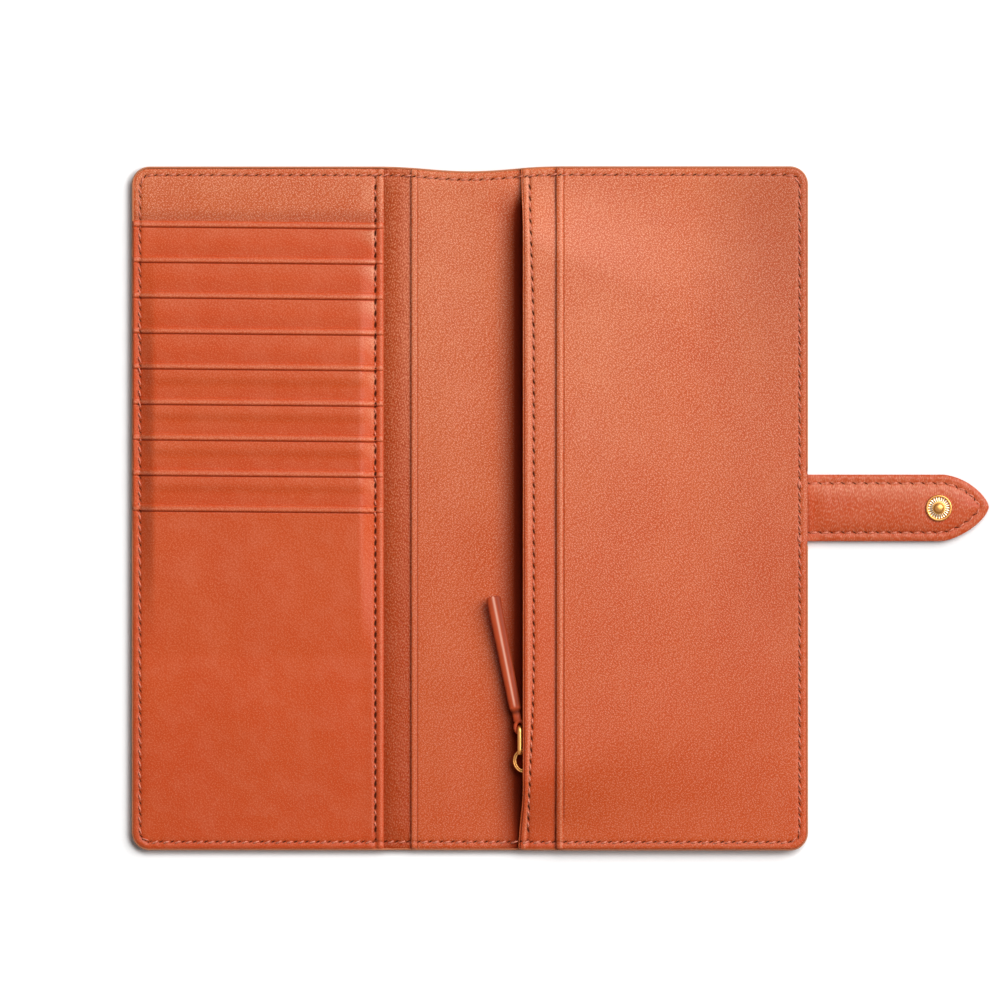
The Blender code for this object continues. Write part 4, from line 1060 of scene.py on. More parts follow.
wall = {
    "thick": 0.75, "nose": (2.0, 0.55), "notch": (0.62, 0.17, -0.16), "stitched": (0, 0.8, -0.26),
    "foldTone": (2.3, 0.45, 0.6), "notchTone": (0.62, 0.17, -1.0),
    "noteShadow": (layer["noteEdge"] + 0.1, 0.3, -0.9), "light": (-20, 120, 0.18), "dark": (-60, -60, -0.1),
}
fractions = places(steps(0.0, 0.7, 0.1), steps(0.7, 2.0, 0.16), steps(2.0, 6.0, 0.4),
                   steps(6.0, 14.0, 0.8), steps(14, 104, 6.0))
x, y = wallGrid(lambda rows: zipWallEdge(rows) + 0.3, fractions, rows, inset)
over = x - zipWallEdge(y)
z = zipWallTop(x, y) + seamRelief(x, y) - nosed(over, wall["nose"]) + line(over, wall["notch"])
z = z + line(x - wallSeamX(y), wall["stitched"])
# Tone: a painted highlight along the top of the rounded edge, painted shade in the notch, the note panel's painted
# shadow beside its edge, painted light towards the top and painted shade towards the bottom
tone = line(over, wall["foldTone"]) + line(over, wall["notchTone"]) + line(x, wall["noteShadow"])
tone = tone + slope(y, wall["light"]) + slope(y, wall["dark"])
piece = closedSheet("zip_wall_leather", stack(x, y, z), stack(x, y, z - wall["thick"]), wallNappa,
                    halfRound(0.3), None, tone, seamField(x, y, "wall"), edgePaint=0.9)
fitted(piece, "pocket_leather", "back_cover", "zip_pocket_upper_wall")

note = {
    "thick": 0.75, "nose": (1.4, 0.4), "crease": (2.8, 0.2, -0.15), "pressed": (-116, 4, 1),
    "foldTone": (1.85, 0.34, 0.6), "edge": (1.3, -0.4, -0.2),
    "creaseTone": (2.8, 0.2, -0.75), "creaseLeast": 0.25,
    "sheenPatches": (9, 7, 0.12), "sheenPatchesFrom": (-40, 60, 1), "ripple": (26, 73),
    "light": (-60, 160, 0.16), "lightEnd": (90, -45, 1),           # painted light: paler at the upper left
    "dark": (70, 45, -0.11), "darkFrom": ((-100, 80, 1), (20, 80, 1.6)),  # and painted shade: darker at the upper right
}
fractions = places(np.array([0.0, 0.15, 0.35, 0.6, 1.0, 1.5, 2.0, 2.25, 2.4, 2.5, 2.6, 2.7, 2.8, 2.9, 3.0, 3.15]),
                   steps(3.15, 6.0, 0.6), steps(6.0, 84.0, 1.7), steps(84, 91.2, 0.45))
x, y = wallGrid(lambda rows: layer["noteEdge"] + 0.3 + 0 * rows, fractions, rows, inset)
over = x - layer["noteEdge"]
pressed = slope(y, note["pressed"])
z = noteTop(x, y) + seamRelief(x, y) - nosed(over, note["nose"]) + line(over, note["crease"]) * pressed
# Tone: a painted highlight on the fold, painted shade on the rounded edge and in the crease, painted sheen
# patches, and painted light and shade towards the top
least = note["creaseLeast"]
tone = line(over, note["foldTone"]) + line(over, note["creaseTone"]) * (least + (1 - least) * pressed)
tone = tone + slope(over, note["edge"]) + slope(y, note["light"]) * slope(x, note["lightEnd"])
tone = tone + (line(over, note["sheenPatches"]) * smoothStep(ripple(x, y, *note["ripple"]))
               * slope(y, note["sheenPatchesFrom"]))
tone = tone + slope(x, note["dark"]) * sum(slope(y, shape) for shape in note["darkFrom"])
# The sheet's edge is painted dark: painted shade in the gap beneath it
piece = closedSheet("note_panel_leather", stack(x, y, z), stack(x, y, z - note["thick"]), noteNappa,
                    halfRound(0.3), None, tone, seamField(x, y), edgeTone=-0.7)
fitted(piece, "pocket_leather", "back_cover", "note_pocket_panel")
print("stage 7: zip side")

# Strap: top and bottom leather, made in two lengths that meet between its two bends


def strapCurve(inset, count=240):
    # Half of the strap's outline, moved in, from its side to its tip: (u / a)^p + (v / b)^q = 1
    p, q = strap["pointPowers"]
    turn = np.linspace(0, np.pi / 2, count)
    u = (strap["pointLength"] - inset) * np.sin(turn) ** (2 / p)
    v = (strap["halfWidth"] - inset) * np.cos(turn) ** (2 / q)
    return strap["tip"] - strap["pointLength"] + u, v


def strapMiddle(x):  # the point leans a little up the page
    return strap["y"] + slope(x, (strap["tip"] - 20, 14, strap["lean"]))


def strapEdge(x, y):
    # Distance inside the strap's outline: past the straight part, to the nearest point of the curve
    u, v = strapCurve(0.0)
    aside = np.abs(y - strapMiddle(x))
    past = x > u[0] - 14
    distance = strap["halfWidth"] - aside
    near = np.hypot(x[past][:, None] - u, aside[past][:, None] - v).min(axis=1)
    distance[past] = np.minimum(distance[past], near)
    return distance


studAt = tuple(nodeMiddle("snap_stud")[:2])
strapTop = {
    "rollWidth": 1.4, "fall": (1.6, 1.3, strap["valley"] - strap["roll"]), "pad": (3.1, 2.6),
    "scallop": ((1.7, 0.8, -0.09), (4.4, 1.2, -0.072)),       # lines by the distance from the edge
    "wrinkle": 0.045, "wrinklePitch": 2.4, "wrinkleLean": 0.3, "wrinkleLeast": 0.4,
    "wrinkled": (136, 8, 1), "wrinkleFrom": (-1, 6, 1), "wander": (14, 81, 4.0), "patches": (9, 82),
    "press": (5.2, 0.5, -0.18), "rise": (strap["coverEdge"] - 1.5, 8, 1),
}
strapBottom = {"round": 0.5, "roundWidth": 1.3, "stitched": (strap["seamInset"], 0.7, 0.14),
               "rise": (strap["coverEdge"], 3, 1)}


def strapTopHeight(x, y):
    # From the edge: a puffed roll, a valley at the stitches, then the padded crown; flat under the cover
    d = strapEdge(x, y)
    roll = strap["edge"] + (strap["roll"] - strap["edge"]) * np.sqrt(np.clip(d / strapTop["rollWidth"], 0, 1))
    padStart, padWidth = strapTop["pad"]
    padded = 1 - np.exp(-np.maximum(d - padStart, 0) / padWidth)
    inner = strap["valley"] + (strap["crown"] - strap["valley"]) * padded
    z = roll + slope(d, strapTop["fall"])
    z = np.where(d > strap["seamInset"], inner, z)
    stitched = np.cos(2 * np.pi * (x - strap["coverEdge"]) / strap["pitch"])
    z = z + stitched * sum(line(d, shape) for shape in strapTop["scallop"])
    waves = 2 * np.pi * x / strapTop["wrinklePitch"] + strapTop["wrinkleLean"] * (y - strap["y"])
    waves = waves + ripple(x, y, *strapTop["wander"])
    patches = strapTop["wrinkleLeast"] + ripple(x, y, *strapTop["patches"]) ** 2
    wrinkle = strapTop["wrinkle"] * (1 + np.cos(waves)) * patches
    z = z - wrinkle * line(x, strapTop["wrinkled"]) * slope(y - strap["y"], strapTop["wrinkleFrom"])
    z = z + line(np.hypot(x - studAt[0], y - studAt[1]), strapTop["press"])
    return strap["skived"] + (z - strap["skived"]) * slope(x, strapTop["rise"])


def strapBottomHeight(x, y):  # a rounded edge, drawn up at the stitches; level under the cover
    d = strapEdge(x, y)
    rise = strapBottom["round"] * (1 - np.sqrt(np.clip(d / strapBottom["roundWidth"], 0, 1)))
    return strap["bottom"] + (rise + line(d, strapBottom["stitched"])) * slope(x, strapBottom["rise"])


strapRows = np.sin(np.linspace(-np.pi / 2, np.pi / 2, 57))
strapParts = {
    "neck": {"carrier": "strapEdge", "from": strap["root"], "nodes": ("strap_root", "strap_neck")},
    "tip": {"carrier": "strapFront", "from": strap["split"], "nodes": ("strap_tip",)},
}
seamU, seamV = strapCurve(strap["seamInset"])
seamU, seamV = np.append(strap["coverEdge"], seamU), np.append(seamV[0], seamV)
seamS = np.append(0.0, np.cumsum(np.hypot(np.diff(seamU), np.diff(seamV))))


def strapSeamField(x, y):  # as seamField: stitches counted along the seam, round the point by the angle
    d = strapEdge(x, y) - strap["seamInset"]
    aside = y - strapMiddle(x)
    start = seamU[1]
    turn = np.arctan2(np.maximum(x - start, 0), np.abs(aside))
    length = np.interp(turn, np.arctan2(seamU[1:] - start, seamV[1:]), seamS[1:])
    length = np.where(x > start, length, x - strap["coverEdge"])
    sheared = length - np.sign(aside) * seamHole["slant"] * np.clip(d, -slitReach, slitReach)
    return np.stack([np.abs(d), sheared / strap["pitch"]], -1), np.full(x.shape, 0.34)


def strapPoint(s, sign):  # the seam's point at s from the cover's edge, on the upper or the lower side
    x, y = np.interp(s, seamS, seamU), np.interp(s, seamS, seamV)
    ahead, behind = s + 0.1, s - 0.1
    heading = np.arctan2(np.interp(ahead, seamS, seamV) - np.interp(behind, seamS, seamV),
                         np.interp(ahead, seamS, seamU) - np.interp(behind, seamS, seamU))
    return x, strapMiddle(x) + sign * y, sign * heading


strapTone = {  # painted light on the upper half and painted shade on the lower, slopes by the height on the page; a painted highlight along the roll and darker at the rim, a line and a slope by the distance from the edge; painted shade where it runs under the cover
    "light": (1, 8, 0.36), "dark": (-1, -7, -0.1), "edge": (1.6, 0.8, 0.1),
    "cover": (strap["coverEdge"], 0.5, -0.3), "rim": (0.6, -0.6, -0.15), "inside": (2, 2, 1),
}
for part, facts in strapParts.items():
    if part == "neck":
        end = strap["split"] + 0 * strapRows
    else:
        p, q = strap["pointPowers"]
        end = (1 - np.abs(strapRows) ** q) ** (1 / p)
        end = strap["tip"] - strap["pointLength"] + (strap["pointLength"] - 0.25) * end
    across = np.linspace(0, 1, 41 if part == "neck" else 96)
    x = facts["from"] + (end[:, None] - facts["from"]) * across[None]
    y = strapMiddle(x) + (strap["halfWidth"] - 0.25) * strapRows[:, None]
    topZ, bottomZ = strapTopHeight(x, y), strapBottomHeight(x, y)
    middle = bottomZ + (topZ - bottomZ) * 0.48
    seam = strapSeamField(x, y)
    d, aside = strapEdge(x, y), y - strap["y"]
    tone = slope(aside, strapTone["light"]) + slope(aside, strapTone["dark"]) * (d > 3)
    tone = tone * slope(d, strapTone["inside"]) + line(d, strapTone["edge"])
    tone = tone + line(x, strapTone["cover"]) + slope(d, strapTone["rim"])
    for face, slotName, upper, lower, more in (
            ("inner", "pocket_leather", topZ, middle + 0.02, {"tone": tone, "seam": seam}),
            ("outer", "outside_leather", middle - 0.02, bottomZ, {"under": seam[0]})):
        piece = closedSheet(f"strap_{part}_{face}_leather", stack(x, y, upper), stack(x, y, lower), strapNappa,
                            halfRound(0.25), strap["split"], edgeTone=0.2, **more)
        fitted(piece, slotName, facts["carrier"], *[f"{node}_{face}" for node in facts["nodes"]])
print("stage 8: strap")

# Thread: each stitch is a short bowed tube from one needle hole to the next

stitch = {"radius": 0.31, "rings": 7, "sides": 6, "bow": 0.24, "sink": 0.3, "slant": 0.42,
          "belowEdge": 0.12, "underneath": 0.16, "belowSeam": 0.3, "belowStrap": 0.08, "aboveTack": 0.02}


def stitches(name, slotName, carrier, x, y, heading, z, share, flip=1, slant=1.0):
    # Each stitch runs a share of the way between two holes, slants across the seam, rises by bow in the
    # middle as sin(pi t), and its round section is (r cos a, r sin a), thinner at both ends
    count, rings, sides = len(x) - 1, stitch["rings"], stitch["sides"]
    t = np.linspace(0, 1, rings)
    between = (1 - share) / 2 + share * t[None]
    start, end = np.stack([x, y], 1)[:-1, None], np.stack([x, y], 1)[1:, None]
    angle = heading[:-1, None] + 0 * between
    side = np.stack([-np.sin(angle), np.cos(angle)], -1)
    uneven = np.random.default_rng(len(name) + count).uniform(0.75, 1.25, (count, 1, 1))
    middle = start + (end - start) * between[..., None]
    middle = middle + side * uneven * (slant * stitch["slant"] * 2 * (t - 0.5))[None, :, None]
    arch = np.sin(np.pi * t)
    height = z[:-1, None] * (1 - between) + z[1:, None] * between
    height = height + flip * (stitch["bow"] * arch - stitch["sink"] * (1 - arch))[None]
    around = 2 * np.pi * np.arange(sides) / sides
    size = (stitch["radius"] * (0.6 + 0.4 * arch))[:, None]
    points = np.zeros((count, rings, sides, 3))
    points[..., :2] = middle[:, :, None] + side[:, :, None] * (size * np.cos(around))[None, ..., None]
    points[..., 2] = height[..., None] + (size * np.sin(around))[None]
    ply = np.zeros((count, rings, sides, 2))
    ply[..., 0], ply[..., 1] = t[None, :, None], np.arange(sides) / sides
    faces = copyFaces(pileFaces(rings, sides, flip=True), count, rings * sides)
    piece = putMesh(name, points.reshape(-1, 3), faces, thread, None, {"seam": ply.reshape(-1, 2)})
    fitted(piece, slotName, carrier)


# The seam round the wallet shows on both faces: threads on top and, a little longer, on the table side
x, y, heading = seamPoint(np.arange(seamCount + 1) * seamPitch)
atRight = (x[:-1] + x[1:]) / 2 > 0
for side, carrier in halves.items():
    index = np.flatnonzero(atRight == (side == "right"))
    runs = np.split(index, np.flatnonzero(np.diff(index) > 1) + 1)
    for face, slotName, z, share, flip in (
            ("top", "pocket_leather", visibleTop(x, y) - stitch["belowEdge"], 0.6, 1),
            ("under", "outside_leather", stitch["underneath"] + 0 * x, 0.8, -0.35)):
        for number, run in enumerate(runs):
            span = np.append(run, run[-1] + 1)
            stitches(f"thread_edge_{side}_{face}_{number}", slotName, carrier, x[span], y[span], heading[span],
                     z[span], share, flip)

for name, carrier, facts, share in (("card", "front_cover", straightSeams["card"], 0.42),
                                    ("zip_wall", "back_cover", straightSeams["wall"], 0.55)):
    count = int((halfHeight - wallet["seamInset"] - 1.2) / facts["pitch"])
    y = np.arange(-count, count + 1) * facts["pitch"]
    x = facts["x"](y)
    stitches(f"thread_{name}_seam", "pocket_leather", carrier, x, y, np.full(y.shape, np.pi / 2),
             visibleTop(x, y) - stitch["belowSeam"], share, 1, 0.55)

seamEnd = seamS[-1]
holes = np.arange(0, int(seamEnd / strap["pitch"]) + 1)
splitAt = (strap["split"] - strap["coverEdge"]) / strap["pitch"]
for side, sign in (("upper", 1), ("lower", -1)):
    for part, facts in strapParts.items():
        s = strap["pitch"] * holes[holes <= splitAt + 0.5 if part == "neck" else holes >= splitAt - 0.5]
        if part == "tip" and seamEnd - s[-1] > 1.5:
            s = np.append(s, seamEnd)
        x, y, heading = strapPoint(s, sign)
        for face, z, flip in (("top", strapTopHeight(x, y) - stitch["belowStrap"], 1),
                              ("under", strapBottomHeight(x, y) + stitch["belowStrap"], -0.6)):
            stitches(f"thread_strap_{part}_{side}_{face}", "pocket_leather", facts["carrier"], x, y, heading, z,
                     0.62, flip, 0.7)

# Back-tacks: short doubled stitches over the right seam, where the strap is caught
for name, middle in (("upper", 8.6), ("lower", -11.0)):
    for number, aside in enumerate((-0.35, 0.3)):
        y = middle + np.array([-1.3, 1.3]) + 0.2 * aside
        x = np.full(2, right - wallet["seamInset"] + aside)
        stitches(f"thread_backtack_{name}_{number}", "pocket_leather", "back_cover", x, y, np.full(2, np.pi / 2),
                 visibleTop(x, y) + stitch["aboveTack"], 0.9, 1, 0.4)
print("stage 9: thread")

# Zip: tapes, teeth and stops

zipAt = {
    "x": 22.0, "z": 8.1, "halfLength": nodeBox("zip_tape_lower")[1][1], "root": 1.4, "pitch": 2.5,
    "toothLength": nodeBox("zip_teeth_lower")[1][1], "flangeEnd": 26.0, "tape": 0.3,
    "lower": (5.2, 5.5), "upper": (10.75, 10.45),  # heights of the sewn-in edge, outside and inside
}
# One tooth: half of its outline in the zip's plane, wider at its head, with a bevel at both cheeks
tooth = {
    "outline": [(0.28, 0.7), (0.5, 0.8), (0.55, 0.98), (0.36, 1.12), (0.4, 1.3), (0.62, 1.45), (0.62, 1.8)],
    "cheeks": [(-1.05, 0.8), (-0.85, 1.0), (0.85, 1.0), (1.05, 0.8)], "middle": (0.0, 1.25),
}
outline = np.array([(-along, away) for along, away in tooth["outline"][::-1]] + tooth["outline"])
for level, side in (("lower", -1), ("upper", 1)):
    seamZ, flangeZ = zipAt[level]
    near, far, flangeEnd = zipAt["x"] - zipAt["tape"], zipAt["x"] + zipAt["tape"], zipAt["flangeEnd"]
    endZ = zipAt["z"] + side * (zipAt["root"] + 0.1)
    turn = -side * 0.35
    profile = np.array([(near, seamZ), (near + 0.25, seamZ), (flangeEnd - 0.15, seamZ),
                        (flangeEnd, (seamZ + flangeZ) / 2), (flangeEnd - 0.15, flangeZ),
                        (far + 0.35, flangeZ), (far + 0.1, flangeZ - turn * 0.3), (far, flangeZ - turn),
                        (far, endZ), (zipAt["x"], endZ + turn * 0.3), (near, endZ)])[::-side]
    run = steps(-zipAt["halfLength"], zipAt["halfLength"], 3.0)
    points, faces = tubeGrid(stack(0 * run, run, 0), [1.0, 0.0, 0.0], [0.0, 0.0, 1.0], profile, False)
    piece = putMesh(f"zip_tape_{level}_cloth", points, faces, tapeCloth, smooth=False)
    fitted(piece, "zip_tape", "back_cover", f"zip_tape_{level}")

    count = int(round(2 * zipAt["toothLength"] / zipAt["pitch"]))
    middle = np.array(tooth["middle"])
    inPlane = [middle + (outline - middle) * scale for _, scale in tooth["cheeks"]]
    shape = np.stack([stack(zipAt["x"] + cheek + 0 * plane[:, 0], plane[:, 0], zipAt["z"] + side * plane[:, 1])
                      for (cheek, _), plane in zip(tooth["cheeks"], inPlane)])
    points = np.repeat(shape.reshape(1, -1, 3), count, 0)
    points[..., 1] += (-zipAt["toothLength"] + zipAt["pitch"] * (np.arange(count) + 0.5))[:, None]
    faces = copyFaces(pileFaces(*shape.shape[:2], flip=side < 0), count, shape[..., 0].size)
    piece = putMesh(f"zip_teeth_{level}_brass", points.reshape(-1, 3), faces, giltBrass, smooth=False)
    fitted(piece, "brass", "back_cover", f"zip_teeth_{level}")


def roundedBlock(low, high, power=5.0, rings=8, sides=28):
    # A block with softened edges: sections |x/a|^n + |y/b|^n = 1 along x, drawn in at both ends as well
    t = -np.cos(np.linspace(0.12, np.pi - 0.12, rings))[:, None]
    section = (1 - np.abs(t) ** power)[..., None] ** (1 / power) * rounded(1.0, 1.0, power, sides)
    shape = np.concatenate([np.broadcast_to(t[..., None], (rings, sides, 1)), section], -1)
    return ((low + high) / 2 + (high - low) / 2 * shape).reshape(-1, 3), pileFaces(rings, sides)


def brassPiece(name, parts, body, node, tone=None):
    points, faces = joined(parts)
    piece = putMesh(name, points, faces, giltBrass, {"tone": tone(points)} if tone else None)
    fitted(piece, "brass", body, node)


for node in ("zip_bottom_stop", "zip_top_stop_lower", "zip_top_stop_upper"):
    brassPiece(f"{node}_brass", [roundedBlock(*nodeBox(node))], "back_cover", node)

# Slider: two shaped plates, the post between them and the grooved bail

slider = {
    "y": -92.2, "halfLength": 4.5, "halfHeight": 2.254, "front": (19.7, 20.5), "back": (23.6, 24.4),
    "sides": 56,
    "foot": (-1, -3, 0.18), "shoulder": (0, 3, 0.02),   # the plates are narrower at the foot
    "bailReach": nodeBox("zip_slider")[0][0], "bailHalfLength": 4.45, "bailWidth": 1.3,
    "bailHalfThickness": 0.7,
    # painted shade along the bail's pressed line
    "groove": (0, 0.15, 0.2), "grooveShade": (0, 0.17, -0.85),
}


def sliderPlate(low, high):  # a plate in the zip's plane: broad shoulders at the top, narrower at the foot
    angle = -2 * np.pi * np.arange(slider["sides"]) / slider["sides"]
    c, s = np.cos(angle), np.sin(angle)
    along = slider["halfLength"] * np.sign(s) * np.abs(s) ** 0.55
    taper = 1 - slope(along, slider["foot"]) + slope(along, slider["shoulder"])
    height = slider["halfHeight"] * np.sign(c) * np.abs(c) ** 0.5 * taper
    rim = [(low, 0.82), (low + 0.08, 0.93), (low + 0.24, 1.0),
           (high - 0.24, 1.0), (high - 0.08, 0.93), (high, 0.82)]
    points = [stack(x + 0 * along, slider["y"] + along * scale, zipAt["z"] + height * scale) for x, scale in rim]
    return np.concatenate(points), pileFaces(len(rim), slider["sides"], flip=True)


def evenly(vectors):  # the same directions, one long
    return vectors / np.linalg.norm(vectors, axis=1)[:, None]


def bail():
    # A flat bow: half an oval in the table's plane, its section a rounded oblong with a pressed line
    # on the top and the bottom. Gives its points and faces, and its tone at each point: painted shade in the
    # pressed line.
    turn = np.linspace(np.pi / 2, 3 * np.pi / 2, 41)
    width = slider["bailWidth"]
    centreX = slider["front"][0] + 0.35
    a, b = centreX - slider["bailReach"] - width / 2, slider["bailHalfLength"] - width / 2
    centres = stack(centreX + a * np.cos(turn), slider["y"] + b * np.sin(turn), zipAt["z"])
    out = evenly(stack(b * np.cos(turn), a * np.sin(turn), 0))
    q = np.linspace(-0.5, 0.5, 15) * width
    level = slider["bailHalfThickness"] * (1 - np.abs(2 * q / width) ** 4) ** 0.25
    level = np.maximum(level - line(q, slider["groove"]), 0.12)
    profile = np.concatenate([np.stack([q, level], 1), np.stack([q, -level], 1)[::-1]])
    tone = line(np.concatenate([q, q[::-1]]), slider["grooveShade"])
    return tubeGrid(centres, out, [0.0, 0.0, 1.0], profile, False), np.tile(tone, len(turn))


bailPart, bailTone = bail()
post = (np.array([slider["front"][0] + 0.3, slider["y"] + 0.5, zipAt["z"] - 0.4]),
        np.array([slider["back"][1] - 0.3, slider["y"] + 3.7, zipAt["z"] + 0.4]))
sliderParts = [sliderPlate(*slider["front"]), sliderPlate(*slider["back"]), roundedBlock(*post), bailPart]
brassPiece("zip_slider_brass", sliderParts, "slider", "zip_slider",
           lambda points: np.append(np.zeros(len(points) - len(bailTone)), bailTone))

# Wire link: a rounded oblong of round wire that stands through the bail and the puller's eye

wire = {"radius": 0.65, "wide": 0.8, "bend": 1.2, "points": 72}
linkMiddle = nodeMiddle("pull_link")
halfY, halfZ = (nodeBox("pull_link")[1] - linkMiddle)[1:] - wire["radius"]


def roundedLoop(halfWide, halfHigh, bend, count):
    # A rounded oblong walked at even steps: four straight sides and four quarter rounds
    wide, high, arcLength = 2 * (halfWide - bend), 2 * (halfHigh - bend), bend * np.pi / 2
    starts = np.concatenate([[0], np.cumsum([high, arcLength, wide, arcLength] * 2)])
    s = np.arange(count) / count * starts[-1]
    run = np.clip(np.searchsorted(starts, s, side="right") - 1, 0, 7)
    t = s - starts[run]
    quarter = run // 2
    heading = quarter * np.pi / 2 + np.where(run % 2 == 1, t / bend, 0.0)
    acrossWay, upWay = np.array([1, -1, -1, 1])[quarter], np.array([1, 1, -1, -1])[quarter]
    corner = np.stack([acrossWay * (halfWide - bend), upWay * (halfHigh - bend)], 1)
    radial = np.stack([np.cos(heading), np.sin(heading)], 1)
    ahead = np.stack([-np.sin(heading), np.cos(heading)], 1)
    length = np.where(quarter % 2 == 0, high, wide)  # a straight side ends where its corner begins
    straight = np.where(run % 2 == 0, t - length, 0.0)
    return corner + bend * radial + straight[:, None] * ahead, heading


path, heading = roundedLoop(halfY, halfZ, wire["bend"], wire["points"])
centres = linkMiddle + stack(0 * heading, path[:, 0], path[:, 1])
outward = stack(0 * heading, np.cos(heading), np.sin(heading))
section = rounded(wire["wide"], wire["radius"], 2.2, 16)
link = tubeGrid(centres, [1.0, 0.0, 0.0], outward, section[::-1], True)
brassPiece("pull_link_wire", [link], "link", "pull_link")

# Puller: a folded strip of glazed leather round the link, pressed at the neck, with a round end

puller = {
    "neck": (17.2, -75.2), "tip": (8.6, -32.0), "eye": (18.4, -79.9), "halfWidth": 2.13, "tipHalf": 2.62,
    "halfThickness": 1.2, "endRound": 1.2, "neckHalf": 1.5, "eyeWide": 1.62, "eyeLong": 2.2, "eyeHalf": 0.7,
    "thick": (0.85, (1.2, 1.2, 0.35), (-0.2, -1.0, 0.2)), "shoulder": (0.6, 1.8, 1),
    "light": (0, 0.16, 0.95), "shade": (0.15, 0.35, -0.57), "toneFrom": (2, 2, 1), "neckTone": (0.9, 0.9, -0.9),
}
neck, tip = np.array(puller["neck"]), np.array(puller["tip"])
pullLength = np.hypot(*(tip - neck))
pullAlong = (tip - neck) / pullLength
pullAcross = np.array([pullAlong[1], -pullAlong[0]])
a = places(steps(-2.6, 3.4, 0.25), steps(3.4, pullLength - 3, 1.4),
           pullLength - puller["endRound"] * (1 - np.sin(np.linspace(-0.3, np.pi / 2 - 0.05, 14))))[:, None]
endShare = np.clip((a - pullLength + puller["endRound"]) / puller["endRound"], 0, 1)
roundEnd = np.maximum(1 - endShare ** 2.6, 0.0) ** 0.4
broad = puller["halfWidth"] + (puller["tipHalf"] - puller["halfWidth"]) * a / pullLength
width = (puller["neckHalf"] + (broad - puller["neckHalf"]) * slope(a, puller["shoulder"])) * roundEnd
least, fuller, neckFold = puller["thick"]
thick = (least + slope(a, fuller) + slope(a, neckFold)) * roundEnd ** 0.6
section = rounded(1.0, 1.0, 2.5, 32)
flat = neck + a[..., None] * pullAlong + (width * section[:, 0])[..., None] * pullAcross
tall = zipAt["z"] + np.minimum(thick, puller["halfThickness"]) * section[:, 1]
body = (np.concatenate([flat, tall[..., None]], -1).reshape(-1, 3), pileFaces(len(a), len(section)))
turn = 2 * np.pi * np.arange(48) / 48
eyeWide, eyeLong = puller["eyeWide"], puller["eyeLong"]
eyeX, eyeY = puller["eye"]
centres = stack(eyeX + eyeWide * np.cos(turn), eyeY + eyeLong * np.sin(turn), zipAt["z"])
outward = evenly(stack(eyeLong * np.cos(turn), eyeWide * np.sin(turn), 0))
eyeProfile = rounded(puller["eyeHalf"], puller["halfThickness"] * 0.95, 3.0, 20)
points, faces = joined([body, tubeGrid(centres, outward, [0.0, 0.0, 1.0], eyeProfile, True)])
# A painted highlight along the top of the round, painted shade beside it, and darker at the neck
lightLine = line(section[:, 0], puller["light"]) + slope(section[:, 0], puller["shade"])
lightLine = lightLine * (section[:, 1] > -0.3) * slope(a, puller["toneFrom"])
tone = np.zeros(len(points))
tone[:len(body[0])] = (lightLine + line(a, puller["neckTone"])).ravel()
piece = putMesh("puller_leather", points, faces, pullerCalf, {"tone": tone})
fitted(piece, "puller_leather", "pull", "puller")
print("stage 10: zip, slider, link and puller")

# Snap: the fluted stud on the strap, its cap below, and the socket in the front cover's outside

stud = {"flutes": 24, "fluteIn": 2.35, "fluteOut": 3.95, "fluteDepth": 0.13, "knob": 1.7,
        "top": nodeBox("snap_stud")[1][2] - 0.06}


def fluted(r, soft):  # 1 between the inner and the outer ring of the flutes, with soft borders
    return smoothStep((r - stud["fluteIn"]) / soft) * smoothStep((stud["fluteOut"] - r) / soft)


def fluteLift(r, angle):  # radial flutes: cos(n a), only between the inner and the outer ring
    return stud["fluteDepth"] * fluted(r, 0.25) * (np.cos(stud["flutes"] * angle) - 0.2)


studProfile = [(0.0, stud["top"])]
for angle in np.linspace(0.2, np.pi / 2, 7):  # the knob's dome
    studProfile.append((stud["knob"] * math.sin(angle), stud["top"] - 0.8 * (1 - math.cos(angle))))
studProfile += [(1.66, 5.3), (1.5, 5.05), (1.46, 4.85), (1.6, 4.7), (1.9, 4.66), (2.3, 4.62)]
for s in np.linspace(0, 1, 9):  # the fluted flange, dished down and out
    studProfile.append((2.4 + 1.55 * s, 4.6 - 0.55 * s + 0.35 * s ** 3))
studProfile += [(4.02, 4.5), (4.12, 4.6), (4.35, 4.68), (4.6, 4.6), (4.78, 4.42), (4.85, 4.2), (4.8, 4.02),
                (4.6, 3.9), (1.2, 3.9), (1.2, 1.6), (0.75, 1.6), (0.75, 3.2), (0.0, 3.2)]


def studTone(points):  # painted highlights on the tooth tops, and painted shade between them, round the knob's foot and at the flange's outer edge
    x, y, z = points.T
    r, angle = np.hypot(x - studAt[0], y - studAt[1]), np.arctan2(y - studAt[1], x - studAt[0])
    teeth = fluted(r, 0.2) * np.clip(2.2 * np.cos(stud["flutes"] * angle) + 0.3, -0.55, 1.0)
    paintedShade = line(r, (1.82, 0.2, -1.0)) * (z < 5.4) + line(r, (4.86, 0.12, -0.5))
    return (teeth + paintedShade + line(r, (1.66, 0.16, -0.5)) * (z > 5.2)) * (z > 4.1)


capProfile = [(0.0, 2.9), (0.45, 2.9), (0.45, 1.2), (5.3, 1.2), (5.55, 1.1), (5.6, 0.95), (5.5, 0.7), (5.1, 0.42),
              (4.2, 0.22), (3.0, 0.14), (1.5, 0.11), (0.0, 0.1)]
